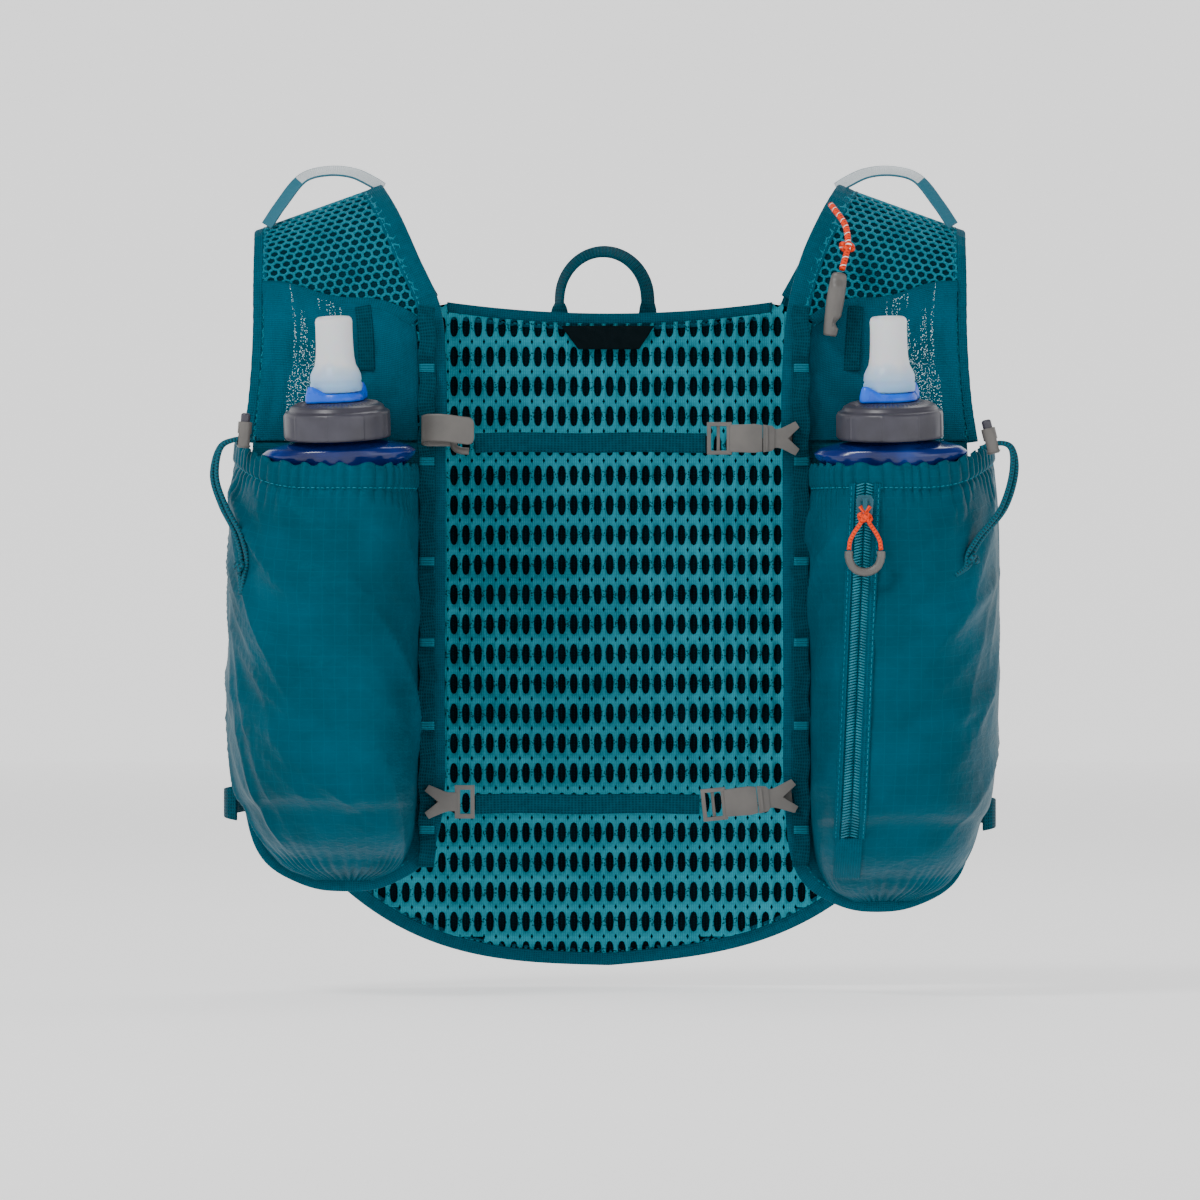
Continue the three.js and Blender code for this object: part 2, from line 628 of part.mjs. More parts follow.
// Male half: a ladder-lock window for the webbing and a body that narrows into the collar.
function buckleMale() {
  const body = plate([[-16, -6.5], [-16, 6.5], [-4, 6.9], [-GAP, 6.3], [-GAP, -6.3], [-4, -6.9]],
    HARDWARE_FRONT - 0.6, HARDWARE_BACK);
  const frame = plate([[-27, -7.8], [-15, -7.8], [-15, 7.8], [-27, 7.8]], HARDWARE_FRONT, HARDWARE_BACK - 1, [
    rect(-25, -17.5, -5.9, 5.9)]);
  const bar = block(-22.3, -20.7, STRAP_Y - 0.2, HARDWARE_BACK - 1, -6.5, 6.5);
  return joined(body, frame, bar);
}

function webbing(x0, x1, z) {
  return block(x0, x1, STRAP_Y - WEBBING_THICK / 2, STRAP_Y + WEBBING_THICK / 2, z - WEBBING_HEIGHT / 2,
    z + WEBBING_HEIGHT / 2);
}

// A clip for an upright drinking tube: a C ring with a tab at its mouth, and a frame for the webbing.
function tubeClip(z) {
  const [halfWidth, halfDepth, wall, tabReach, height] = [9.7, 6.4, 1.5, 15, 13.3];
  const [x, y] = [-80.6, ARMS_BACK - halfDepth];
  const ring = (inset) => {
    const points = [];
    for (let i = 0; i <= 14; i++) {
      const a = THREE.MathUtils.degToRad(lerp(-90, -330, i / 14));
      points.push([x + (halfWidth - inset) * Math.cos(a), y + (halfDepth - inset) * Math.sin(a)]);
    }
    return points;
  };
  const front = y - halfDepth;
  const tab = x + tabReach;
  const outline = [[tab, front], ...ring(0), ...ring(wall).reverse(), [tab, front + wall]];
  const shape = new THREE.Shape(outline.map((q) => new THREE.Vector2(...q)));
  const curl = new THREE.ExtrudeGeometry(shape, { depth: height, bevelEnabled: false });
  const clip = closed(curl.translate(0, 0, z - 1.6));
  const plateBack = plate(rect(-90, -66.5, z - 2, z + 8.5), ARMS_BACK - 1.6, ARMS_BACK);
  const neck = plate(rect(-78.5, -75.8, z - 5, z + 6), ARMS_BACK - 1.6, TONGUE_BACK);
  const tongue = plate(rect(-90.5, -76, z - 4, z + 4), HOOK_BACK, TONGUE_BACK);
  const frame = plate(rect(-77, -65.5, z - 7.4, z + 2), ARMS_BACK - 1.6, ARMS_BACK + 0.6, [
    rect(-71.5, -67.5, z - 5.6, z + 0.5)]);
  return joined(clip, plateBack, neck, tongue, frame);
}

// The lower strap's fixed end: a V hook with a thin frame that the webbing is sewn round, facing -x from x.
function anchorClip(x, z) {
  const frame = plate(rect(-4, 5.5, -8, 8), STRAP_Y - 1.6, STRAP_Y + 1.6, [rect(-2, 3, -5.8, 5.8)]);
  const spine = block(4.5, 7.5, HARDWARE_FRONT + 0.4, STRAP_Y + 2, -4.5, 4.5);
  const clip = joined(frame, spine, hook(6.5, 12.5, 0));
  const p = clip.attributes.position;
  for (let i = 0; i < p.count; i++) {
    p.setXYZ(i, x - p.getX(i), p.getY(i), p.getZ(i) + z);
  }
  return closed(clip);
}

function placedBuckle(prefix, x, z, lean, reach) {
  const buckle = new THREE.Group();
  buckle.add(piece(`${prefix}_buckle_male`, buckleMale(), 'greyPlastic'));
  buckle.add(piece(`${prefix}_buckle_female`, buckleFemale(reach), 'greyPlastic'));
  buckle.position.set(x, 0, z);
  buckle.rotation.y = THREE.MathUtils.degToRad(lean);
  group.add(buckle);
}

piece('upper_tube_clip', tubeClip(UPPER_STRAP_Z), 'greyPlastic');
piece('upper_strap_webbing', webbing(-64.8, 46.1, UPPER_STRAP_Z - 1), 'webbing');
placedBuckle('upper', 73.5, UPPER_STRAP_Z, 0, 11.5);

piece('lower_anchor_clip', anchorClip(-69, LOWER_STRAP_Z + 1), 'greyPlastic');
piece('lower_strap_webbing', webbing(-64.7, 43, LOWER_STRAP_Z), 'webbing');
placedBuckle('lower', 71, LOWER_STRAP_Z + 2, -6, 13);

// ---- zip on the right pocket --------------------------------------------------------------------------

const ZIP = { topX: 121, topZ: -151, bottomX: 114, bottomZ: -316, tapeWidth: 15 };

function zipX(z) {
  return lerp(ZIP.topX, ZIP.bottomX, (z - ZIP.topZ) / (ZIP.bottomZ - ZIP.topZ));
}

// The right bag's outer face at a place across and up it; share is found from the height.
function rightBagFace(x, z) {
  const side = SIDES.right;
  let [t0, t1] = [0, 1];
  const at = (t) => {
    const row = pocketFrame(side)(t);
    const c = clamp((x - (row.x0 + row.x1) / 2) / ((row.x1 - row.x0) / 2), -1, 1);
    const s = (1 - Math.abs(c) ** (2 / POCKET_ROUND)) ** (POCKET_ROUND / 2);
    return pocketPoint(side, t, c, s, 0);
  };
  for (let i = 0; i < 24; i++) {
    const t = (t0 + t1) / 2;
    [t0, t1] = at(t).z > z ? [t, t1] : [t0, t];
  }
  return at(t0);
}

// A strip on the bag's face, following the zip's line.
function zipStrip(width, thick, off, z0, z1) {
  return warp(2, 12, 1, (u, v, w) => {
    const z = lerp(z0, z1, v);
    const x = zipX(z) + width * (u - 0.5);
    const face = rightBagFace(x, z);
    return vec(x, face.y - off - (1 - w) * thick, z);
  });
}

piece('zipper_tape', zipStrip(ZIP.tapeWidth, 0.8, 1.9, ZIP.bottomZ, ZIP.topZ + 5), 'binding');
piece('zipper_coil', zipStrip(4, 0.9, 1.9 + 0.8 + 2 * GAP, ZIP.bottomZ, ZIP.topZ + 5), 'coil');

const SLIDER_TOP_Z = -157;
const ZIP_STACK = 4.9; // bag face to the coil's front
const coilFronts = [SLIDER_TOP_Z, -200, -250, -300].map((z) => rightBagFace(zipX(z), z).y - ZIP_STACK);
const SLIDER_Y = Math.min(...coilFronts);

function zipSlider() {
  const shell = plate([[-3.6, -4], [-2.6, -5.4], [2.6, -5.4], [3.6, -4], [4.2, 3], [2.8, 5.2], [-2.8, 5.2],
    [-4.2, 3]], -2.2, 0);
  const bridge = plate(rect(-1.1, 1.1, -3.8, 3.8), -5.4, -1.6);
  const eye = block(-2, 2, -4.3, -2, -2.2, 2.2);
  return cut(joined(shell, bridge), eye);
}

const slider = piece('zipper_slider', zipSlider(), 'coil');
slider.position.set(zipX(SLIDER_TOP_Z), SLIDER_Y, SLIDER_TOP_Z);

// The pull: a cord loop through the slider's eye, knotted, closed at its foot by a moulded U grip.
const PULL_X = zipX(SLIDER_TOP_Z);
const PULL_Y = SLIDER_Y - 3.2;
const PULL_Z = SLIDER_TOP_Z;
const GRIP = { halfWidth: 7.6, top: -21.5, bottom: -33.5, radius: 2 };

function pullCord() {
  const points = [[0, 0, 0.8], [-2.2, 0, 0.2], [-2.6, -0.2, -3], [-3.6, -0.3, -9], [-6.6, -0.3, -15],
    [-7.6, -0.3, -21]];
  const left = points.map(([x, y, z]) => [PULL_X + x, PULL_Y + y, PULL_Z + z]);
  const right = points.slice(1).reverse().map(([x, y, z]) => [PULL_X - x, PULL_Y + y, PULL_Z + z]);
  return tube([...left.reverse(), ...right.reverse()], 0.9, 6, 26);
}
piece('zipper_pull_cord', pullCord(), 'orangeCord');

function pullGrip() {
  const points = [[-1, 0], [-1, -0.35], [-0.7, -0.8], [0, -1], [0.7, -0.8], [1, -0.35], [1, 0]];
  const height = GRIP.top - GRIP.bottom - GRIP.radius;
  return tube(points.map(([x, z]) => [PULL_X + x * GRIP.halfWidth, PULL_Y - 0.3,
    PULL_Z + GRIP.top + z * height]), GRIP.radius, 8, 12);
}
piece('zipper_pull_grip', pullGrip(), 'greyPlastic');

// ---- cord locks and hem cords -------------------------------------------------------------------------

const BARREL = { radius: 3.4, bottom: -8, top: 4.5, bore: 2.6, boreFloor: -0.5 };

// Barrel with a crosswise slot for the two strands and a bore for the button.
function lockBarrel() {
  const body = turned([[0, BARREL.bottom], [2.6, BARREL.bottom], [BARREL.radius, BARREL.bottom + 1],
    [BARREL.radius, BARREL.top], [BARREL.bore, BARREL.top], [BARREL.bore, BARREL.boreFloor],
    [0, BARREL.boreFloor]], 16);
  return cut(body, block(-6, 6, -1.7, 1.7, -6.6, -1.2));
}

function lockButton() {
  const floor = BARREL.boreFloor + 2.6;
  return turned([[0, floor], [2.3, floor], [2.3, BARREL.top + 3.4], [1.6, BARREL.top + 4.2],
    [0, BARREL.top + 4.2]], 16);
}

for (const [name, side] of Object.entries(SIDES)) {
  const lock = new THREE.Group();
  lock.add(piece(`cord_lock_barrel_${name}`, lockBarrel(), 'greyPlastic'));
  lock.add(piece(`cord_lock_button_${name}`, lockButton(), 'capPlastic'));
  lock.position.set(side.sign * side.lock.x, side.cord[0][1], side.lock.z);
  lock.rotation.y = THREE.MathUtils.degToRad(side.lock.lean);
  group.add(lock);
  const route = [...side.cord, ...side.tails].map(([x, y, z]) => [side.sign * x, y, z]);
  const [knotX, knotY, knotZ] = side.knot;
  const knot = closed(new THREE.SphereGeometry(3, 8, 6).translate(side.sign * knotX, knotY, knotZ));
  piece(`drawcord_${name}`, joined(tube(route, CORD_R, 8, 20), knot), 'tealCord');
}

// ---- whistle ------------------------------------------------------------------------------------------

const WHISTLE = { x: 110.5, y: -63.4, topZ: -44, length: 31, radius: 4.3, lean: 9 };

// A round pea-less whistle: ring hole at its head, window and a slanted mouth at its foot.
function whistleBody() {
  const { radius, length } = WHISTLE;
  const body = turned([[0, -length], [radius * 0.62, -length], [radius * 0.8, -length + 3],
    [radius, -length * 0.55], [radius, -3], [radius * 0.7, -0.6], [0, 0]], 18);
  const ringHole = closed(new THREE.CylinderGeometry(1.5, 1.5, 12, 10).translate(0, 0, -3));
  const bore = turned([[0, -length - 1], [1.7, -length - 1], [1.7, -length + 14], [0, -length + 14]], 10);
  const mouth = block(1.6, 6, -3, 3, -length + 4, -length + 9).rotateY(0.35);
  return cut(body, ringHole, bore, mouth);
}

const whistle = piece('whistle', whistleBody(), 'greyPlastic');
whistle.position.set(WHISTLE.x, WHISTLE.y, WHISTLE.topZ);
whistle.rotation.y = THREE.MathUtils.degToRad(WHISTLE.lean);

const whistleCord = [[107, -33.5, -10.5], [108.6, -38.5, -13], [113.5, -48, -21], [114.5, -56.5, -31],
  [111.6, -63.4, -42.6]];
piece('whistle_cord', tube(whistleCord, 1.5, 8, 18), 'orangeCord');

export default group;
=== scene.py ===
import math

import bpy
import numpy as np
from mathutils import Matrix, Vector


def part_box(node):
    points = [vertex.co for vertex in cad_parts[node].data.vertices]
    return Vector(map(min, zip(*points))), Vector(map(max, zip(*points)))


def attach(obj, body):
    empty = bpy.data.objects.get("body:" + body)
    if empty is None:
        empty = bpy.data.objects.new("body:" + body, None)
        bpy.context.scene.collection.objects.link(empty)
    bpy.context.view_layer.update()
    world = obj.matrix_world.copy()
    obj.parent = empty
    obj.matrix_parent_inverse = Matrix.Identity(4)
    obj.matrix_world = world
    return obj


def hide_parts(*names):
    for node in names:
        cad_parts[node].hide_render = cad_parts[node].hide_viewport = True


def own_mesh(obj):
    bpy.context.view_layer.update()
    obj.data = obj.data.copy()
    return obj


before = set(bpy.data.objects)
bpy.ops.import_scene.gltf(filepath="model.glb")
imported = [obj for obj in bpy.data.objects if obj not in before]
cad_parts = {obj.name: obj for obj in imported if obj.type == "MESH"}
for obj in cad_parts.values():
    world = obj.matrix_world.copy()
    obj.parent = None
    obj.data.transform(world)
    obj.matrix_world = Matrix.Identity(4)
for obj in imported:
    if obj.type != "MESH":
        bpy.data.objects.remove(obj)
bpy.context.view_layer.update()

# All sizes below are millimetres in the vest's frame: +X right, -Y the wearer's front, +Z up.
MM = 0.001
CHEST_Y, PANEL_OUTER_Y, PANEL_TOP_Z, PANEL_BOTTOM_Z = -62, -38, -125, -342
BACK_Y, BACK_CURVE, BACK_HALF_WIDTH, BACK_TOP_Z, HEM_Z = 60, 23, 156, -60, -382
NECK_HALF_WIDTH, COLLAR_DIP, SHOULDER_END_Z = 84, 6, -100
YOKE_END = 0.985  # the share of a yoke's rails that its net covers
BINDING_R, EDGE_INSET = 2.5, 5.3
LADDER_X = (EDGE_INSET - 0.3, EDGE_INSET + 7.7)
TACKS = (-60, -90, -135, -183, -222, -262, -312, -330)
POCKET_RIM_Z, POCKET_DEPTH, POCKET_ROUND, POCKET_CLEAR = -137, 70.5, 0.75, 3.2
RIM_RISE, RIM_REACH = 17, 48  # how far a pocket's rim climbs towards its outer edge, and over what width
STRAP_Y = CHEST_Y - 7.6
UPPER_STRAP_Z, LOWER_STRAP_Z = -125, -299.5
FLASK_Y, FLASK_TOP_Z, FLASK_TIP = -92, -124.5, 6
SPACER_CELL, SPACER_HOLE = (5.9, 14.65), (1.95, 5.1)
FRONT = (0, -1, 0)

SIDES = {
    "left": dict(sign=-1, inner=79, pocket_outer=183, drop=0, flask_x=130, lean=-2.0),
    "right": dict(sign=1, inner=83, pocket_outer=187, drop=10, flask_x=134, lean=-1.2),
}

# ---- camera -------------------------------------------------------------------------------------------

VIEW_CENTRE = (-4.8, -201.6)  # x and z at the middle of the picture
VIEW_WIDTH = 576
LENS = 300


def make_camera():
    data = bpy.data.cameras.new("camera")
    data.lens = LENS
    data.clip_end = 30
    camera = bpy.data.objects.new("camera", data)
    bpy.context.scene.collection.objects.link(camera)
    distance = VIEW_WIDTH * LENS / data.sensor_width
    camera.location = [c * MM for c in (VIEW_CENTRE[0], CHEST_Y - 10 - distance, VIEW_CENTRE[1])]
    camera.rotation_euler = (math.pi / 2, 0, 0)
    bpy.context.scene.camera = camera


make_camera()

# ---- node materials -----------------------------------------------------------------------------------


def srgb(hexcode):
    parts = [int(hexcode[i:i + 2], 16) / 255 for i in (0, 2, 4)]
    return [c / 12.92 if c <= 0.04045 else ((c + 0.055) / 1.055) ** 2.4 for c in parts] + [1.0]


def paint(value):
    return srgb(value) if isinstance(value, str) else value


class Look:
    """A material under construction: a Principled shader and short calls for the nodes that feed it."""

    def __init__(self, name, roughness=0.6, **settings):
        self.material = bpy.data.materials.new(name)
        self.material.use_nodes = True
        self.tree = self.material.node_tree
        self.shader = self.tree.nodes["Principled BSDF"]
        self.shader.inputs["Roughness"].default_value = roughness
        for key, value in settings.items():
            self.shader.inputs[key.replace("_", " ")].default_value = value
        self.height = None

    def node(self, kind, **values):
        made = self.tree.nodes.new("ShaderNode" + kind)
        for key, value in values.items():
            setattr(made, key, value)
        return made

    def link(self, a, b):
        self.tree.links.new(a, b)

    def feed(self, socket, value):
        if isinstance(value, bpy.types.NodeSocket):
            self.link(value, socket)
        else:
            socket.default_value = value

    def math(self, operation, a, b=0.0, c=0.0):
        made = self.node("Math", operation=operation)
        for socket, value in zip(made.inputs, (a, b, c)):
            self.feed(socket, value)
        return made.outputs[0]

    def times(self, a, b):
        return self.math("MULTIPLY", a, b)

    def scaled(self, a, factor, add):
        return self.math("MULTIPLY_ADD", a, factor, add)

    def above(self, a, limit):
        return self.math("GREATER_THAN", a, limit)

    def below(self, a, limit):
        return self.math("LESS_THAN", a, limit)

    def place(self, uv=True):
        """Cloth coordinates in metres (uv) or the vest's own coordinates."""
        return self.node("TexCoord").outputs["UV" if uv else "Object"]

    def split(self, vector):
        made = self.node("SeparateXYZ")
        self.link(vector, made.inputs[0])
        return made.outputs

    def mapped(self, vector, scale):
        made = self.node("Mapping")
        made.inputs["Scale"].default_value = scale
        self.link(vector, made.inputs["Vector"])
        return made.outputs[0]

    def noise(self, vector, scale, detail=2.0, rough=0.5):
        made = self.node("TexNoise")
        self.link(vector, made.inputs["Vector"])
        made.inputs["Scale"].default_value = scale
        made.inputs["Detail"].default_value = detail
        made.inputs["Roughness"].default_value = rough
        return made.outputs["Fac"]

    def wave(self, coordinate, pitch):
        """0 to 1 and back once in each pitch, in metres."""
        angle = self.times(coordinate, 2 * math.pi / pitch)
        return self.scaled(self.math("SINE", angle), 0.5, 0.5)

    def ramp(self, value, stops):
        made = self.node("ValToRGB")
        self.link(value, made.inputs[0])
        elements = made.color_ramp.elements
        while len(elements) < len(stops):
            elements.new(0.5)
        for element, (position, colour) in zip(elements, stops):
            element.position = position
            element.color = srgb(colour) if isinstance(colour, str) else (colour, colour, colour, 1)
        return made.outputs["Color"]

    def mix(self, factor, a, b, blend="MIX"):
        made = self.node("Mix", data_type="RGBA", blend_type=blend)
        self.feed(made.inputs["Factor"], factor)
        for socket, value in ((made.inputs[6], a), (made.inputs[7], b)):
            self.feed(socket, paint(value))
        return made.outputs[2]

    def colour(self, value):
        self.feed(self.shader.inputs["Base Color"], paint(value))

    def rough(self, value):
        self.feed(self.shader.inputs["Roughness"], value)

    def bump(self, height, distance, strength=1.0):
        made = self.node("Bump")
        made.inputs["Distance"].default_value = distance
        made.inputs["Strength"].default_value = strength
        self.link(height, made.inputs["Height"])
        if self.height:
            self.link(self.height, made.inputs["Normal"])
        self.height = made.outputs["Normal"]
        self.link(self.height, self.shader.inputs["Normal"])


TEAL_TINT = (0.03, 0.62, 0.75, 1)  # what dyed teal cloth mirrors


def knit_look(name, dark, light, pitch=0.0011, roughness=0.75, shine=0.15):
    """Warp knit: staggered loops a millimetre apart, in two close shades."""
    look = Look(name, roughness, Specular_IOR_Level=shine, Specular_Tint=TEAL_TINT)
    uv = look.place()
    u, v, _ = look.split(uv)
    columns = look.wave(u, pitch)
    rows = look.wave(look.math("ADD", v, look.times(columns, pitch * 0.35)), pitch * 0.8)
    loops = look.times(columns, rows)
    cloud = look.noise(uv, 60, 4)
    shade = look.scaled(cloud, 0.6, look.times(loops, 0.55))
    look.cloth = look.ramp(shade, [(0.15, dark), (0.85, light)])
    look.colour(look.cloth)
    look.bump(loops, 0.0004, 0.9)
    return look


def dots(look, uv, scale, size):
    cells = look.node("TexVoronoi")
    cells.inputs["Scale"].default_value = scale
    look.link(uv, cells.inputs["Vector"])
    return look.below(cells.outputs["Distance"], size)


def pleated_look():
    """Stretch knit with rows of pinholes that open where it is pulled tight, near its outer edge; the
    pinholes are painted near-white, as painted light seen through them.
    """
    look = knit_look("pleated_knit", "003c4a", "00607a", 0.001, 0.7, 0.2)
    uv = look.place()
    _, across, _ = look.split(uv)
    tight = look.times(look.above(across, 0.036), look.below(across, 0.068))
    folds = look.above(look.noise(look.mapped(uv, (22, 260, 1)), 1, 4), 0.5)
    # painted light: near-white specks where the pinholes open, standing for light seen through the knit
    holes = look.times(look.times(dots(look, uv, 1500, 0.3), folds), tight)
    fine = look.times(dots(look, uv, 1150, 0.2), 0.55)
    look.colour(look.mix(holes, look.mix(fine, look.cloth, "002c37"), "d5eef2"))
    return look


def spacer_look():
    """Spacer mesh: bright smooth ribs between its ovals, and between the rows an open knit whose small
    openings are dark flecks of painted shade, darkest where four cells meet.
    """
    look = knit_look("spacer_rib", "0f6e80", "37aec2", 0.0009, 0.5, 0.3)
    uv = look.place()
    u, v, _ = look.split(uv)
    pitch_x, pitch_z = (pitch * MM for pitch in SPACER_CELL)
    between = look.wave(look.math("SUBTRACT", u, pitch_x / 4), pitch_x)
    level = look.math("SUBTRACT", v, (HEM_Z + pitch_z / 2) * MM - pitch_z / 4)
    rows = look.below(look.wave(level, pitch_z), 0.2)
    # painted shade: dark flecks in the bands between the rows for the shade inside the knit's small openings,
    # darkest midway between hole columns
    painted_shade_flecks = look.times(dots(look, uv, 980, 0.4), rows)
    shade = look.times(look.scaled(between, 0.6, 0.3), painted_shade_flecks)
    look.colour(look.mix(shade, look.cloth, "001c26"))
    return look


def webbing_look(name, dark, light, pitch=0.0012, roughness=0.62):
    """Plain-woven tape: ribs across its length and a fine heave of the warp along it."""
    look = Look(name, roughness, Specular_IOR_Level=0.12, Specular_Tint=TEAL_TINT)
    uv = look.place()
    u, v, _ = look.split(uv)
    across = look.wave(v, pitch)
    along = look.wave(look.scaled(across, pitch * 0.2, u), pitch * 1.35)
    weave = look.math("MAXIMUM", across, along)
    shade = look.scaled(look.noise(uv, 300, 3), 0.55, look.times(weave, 0.5))
    look.colour(look.ramp(shade, [(0.2, dark), (0.85, light)]))
    look.bump(weave, 0.0003, 0.9)
    return look


def ripstop_look():
    """Coated ripstop nylon: satin, with a barely raised grid of thicker threads and soft cloudy shading."""
    look = Look("ripstop", 0.5, Specular_IOR_Level=0.13, Specular_Tint=TEAL_TINT)
    uv = look.place()
    u, v, _ = look.split(uv)
    ridge_u = look.above(look.wave(u, 0.0052), 0.985)
    ridge_v = look.above(look.wave(v, 0.0052), 0.985)
    ridges = look.math("MAXIMUM", ridge_u, ridge_v)
    cloud = look.noise(uv, 22, 4, 0.6)
    base = look.ramp(cloud, [(0.3, "003947"), (0.7, "00485a")])
    look.colour(look.mix(look.times(ridges, 0.1), base, "0a6678"))
    look.rough(look.scaled(cloud, 0.14, 0.38))
    look.bump(look.noise(uv, 2400, 1), 0.00006, 0.5)
    look.bump(ridges, 0.00008, 0.4)
    look.bump(look.noise(look.mapped(uv, (45, 75, 1)), 1.0, 4, 0.6), 0.0035, 0.5)
    return look


def plastic_look(name, dark, light, roughness, grain=0.00006):
    """Moulded plastic: fine spark-eroded grain and faint flow marks between two close shades."""
    look = Look(name, roughness, Specular_IOR_Level=0.4)
    place = look.place(uv=False)
    flow = look.noise(place, 70, 3)
    look.colour(look.ramp(flow, [(0.3, dark), (0.7, light)]))
    look.rough(look.scaled(flow, 0.16, roughness - 0.08))
    look.bump(look.noise(place, 2600, 2), grain, 0.6)
    return look


def cord_look(name, colour, shadow, fleck=None):
    """Braided cord: crossing diagonal strands; a tracer yarn shows where fleck is given."""
    look = Look(name, 0.62, Specular_IOR_Level=0.2)
    u, v, _ = look.split(look.place())
    spin = look.times(u, 2)
    left = look.wave(look.scaled(v, 1.0, look.times(spin, 0.0016)), 0.0016)
    right = look.wave(look.scaled(v, 1.0, look.times(spin, -0.0016)), 0.0016)
    braid = look.math("MAXIMUM", left, right)
    base = look.mix(braid, shadow, colour)
    if fleck:
        tracer = look.above(look.times(left, look.wave(v, 0.0048)), 0.72)
        base = look.mix(tracer, base, fleck)
    look.colour(base)
    look.bump(braid, 0.0003, 0.8)
    return look


def film_look():
    """Tinted film round water: a deep, slightly cloudy colour under a glossy skin."""
    look = Look("flask_film", 0.2, Transmission_Weight=0.1, Coat_Weight=0.25, IOR=1.4)
    place = look.place(uv=False)
    look.colour(look.ramp(look.noise(place, 45, 2), [(0.3, "001048"), (0.55, "001f66"), (0.8, "0a3f98")]))
    look.bump(look.noise(place, 60, 2), 0.0006, 0.3)
    return look


def silicone_look():
    """Cloudy silicone: lit from within, with blue showing through near its foot."""
    look = Look("valve_silicone", 0.34, Transmission_Weight=0.35, IOR=1.41, Subsurface_Weight=0.5)
    look.shader.inputs["Subsurface Scale"].default_value = 0.006
    place = look.place(uv=False)
    _, _, z = look.split(place)
    milky = look.scaled(look.noise(place, 120, 2), 0.005, z)
    tint = look.node("MapRange")
    look.link(milky, tint.inputs["Value"])
    tint.inputs["From Min"].default_value = -0.098
    tint.inputs["From Max"].default_value = -0.086
    look.colour(look.ramp(tint.outputs[0], [(0.0, "9cc9ef"), (0.6, "c5dcf2"), (1.0, "eef1f4")]))
    look.bump(look.noise(place, 700, 2), 0.0002, 0.3)
    return look


def ribbon_look():
    """Reflective ribbon: silver glass-bead stripe between woven teal edges."""
    look = Look("reflective_ribbon", 0.35)
    u, v, _ = look.split(look.place())
    beads = look.noise(look.place(), 3000, 1)
    middle = look.below(look.math("ABSOLUTE", look.math("SUBTRACT", v, 0.004)), 0.0034)
    stripe = look.times(middle, look.above(u, 0.027))
    silver = look.ramp(beads, [(0.3, "98a3a8"), (0.7, "d4dadd")])
    look.colour(look.mix(stripe, "00586c", silver))
    look.rough(look.scaled(stripe, -0.25, 0.6))
    look.bump(look.wave(u, 0.0009), 0.0002, 0.5)
    return look


LOOKS = {  # each look's slot, and its material
    "rib": ("spacer_mesh", spacer_look()),
    "deep_net": ("spacer_mesh", knit_look("spacer_inside", "000203", "04222b", 0.0016, 0.8, shine=0.05)),
    "net": ("shoulder_net", knit_look("shoulder_net", "005365", "1f8ea3", 0.0009, 0.35, shine=0.5)),
    "net_back": ("shoulder_net", knit_look("net_backing", "001a22", "003d4b", 0.0012, 0.8, shine=0.05)),
    "knit": ("stretch_knit", knit_look("stretch_knit", "003a48", "005a70", 0.001, 0.75)),
    "pleated": ("stretch_knit", pleated_look()),
    "tape": ("binding", webbing_look("binding", "003644", "004f62", 0.0009, 0.6)),
    "webbing": ("webbing", webbing_look("webbing", "001e28", "00404f")),
    "thread": ("binding", cord_look("thread", "0b7084", "003c49")),
    "ripstop": ("ripstop", ripstop_look()),
    "label": ("label", webbing_look("label", "040506", "121417", 0.0006, 0.55)),
    "orange": ("orange_cord", cord_look("orange_cord", "f23c08", "8e2405", fleck="f3ece6")),
    "plain_orange": ("orange_cord", cord_look("pull_cord", "f5420a", "a42e07")),
    "teal_cord": ("teal_cord", cord_look("teal_cord", "005061", "001f28")),
    "grey": ("grey_plastic", plastic_look("grey_plastic", "504e4c", "605d5a", 0.42)),
    "cap": ("cap_plastic", plastic_look("cap_plastic", "2f2e37", "3f3e48", 0.34)),
    "lever": ("lever_plastic", plastic_look("lever_plastic", "0048c8", "0061e0", 0.28)),
    "coil": ("zip_coil", plastic_look("zip_coil", "00586a", "0a7183", 0.45)),
    "slider": ("zip_metal", plastic_look("zip_metal", "003f4d", "005061", 0.35)),
    "film": ("flask_film", film_look()),
    "silicone": ("valve_silicone", silicone_look()),
    "ribbon": ("reflective_ribbon", ribbon_look()),
}

# ---- shapes -------------------------------------------------------------------------------------------


def smoothstep(x, low, high):
    s = np.clip((x - low) / (high - low), 0, 1)
    return s * s * (3 - 2 * s)


def lerp(a, b, t):
    return a + (b - a) * t


def spline(points, t):
    """The same centripetal curve through points that the CAD pieces follow."""
    pts = np.array(points, float)
    t = np.clip(np.asarray(t, float), 0, 1)
    ext = np.vstack([2 * pts[0] - pts[1], pts, 2 * pts[-1] - pts[-2]])
    s = t * (len(pts) - 1)
    i = np.minimum(np.floor(s).astype(int), len(pts) - 2)
    w = (s - i)[..., None]
    p0, p1, p2, p3 = (ext[i + k] for k in range(4))
    d0, d1, d2 = (np.maximum(((b - a) ** 2).sum(-1, keepdims=True) ** 0.25, 1e-4)
                  for a, b in ((p0, p1), (p1, p2), (p2, p3)))
    m1 = ((p1 - p0) / d0 - (p2 - p0) / (d0 + d1) + (p2 - p1) / d1) * d1
    m2 = ((p2 - p1) / d1 - (p3 - p1) / (d1 + d2) + (p3 - p2) / d2) * d1
    return p1 + m1 * w + (3 * (p2 - p1) - 2 * m1 - m2) * w ** 2 + (2 * (p1 - p2) + m1 + m2) * w ** 3


def declare(piece, look, body, replaces=()):
    """Dresses a piece, and says where it belongs."""
    slot, made = LOOKS[look]
    piece.data.materials.append(made.material)
    bpy.context.scene.collection.objects.link(piece)
    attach(piece, body)
    if replaces:
        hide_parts(*replaces)


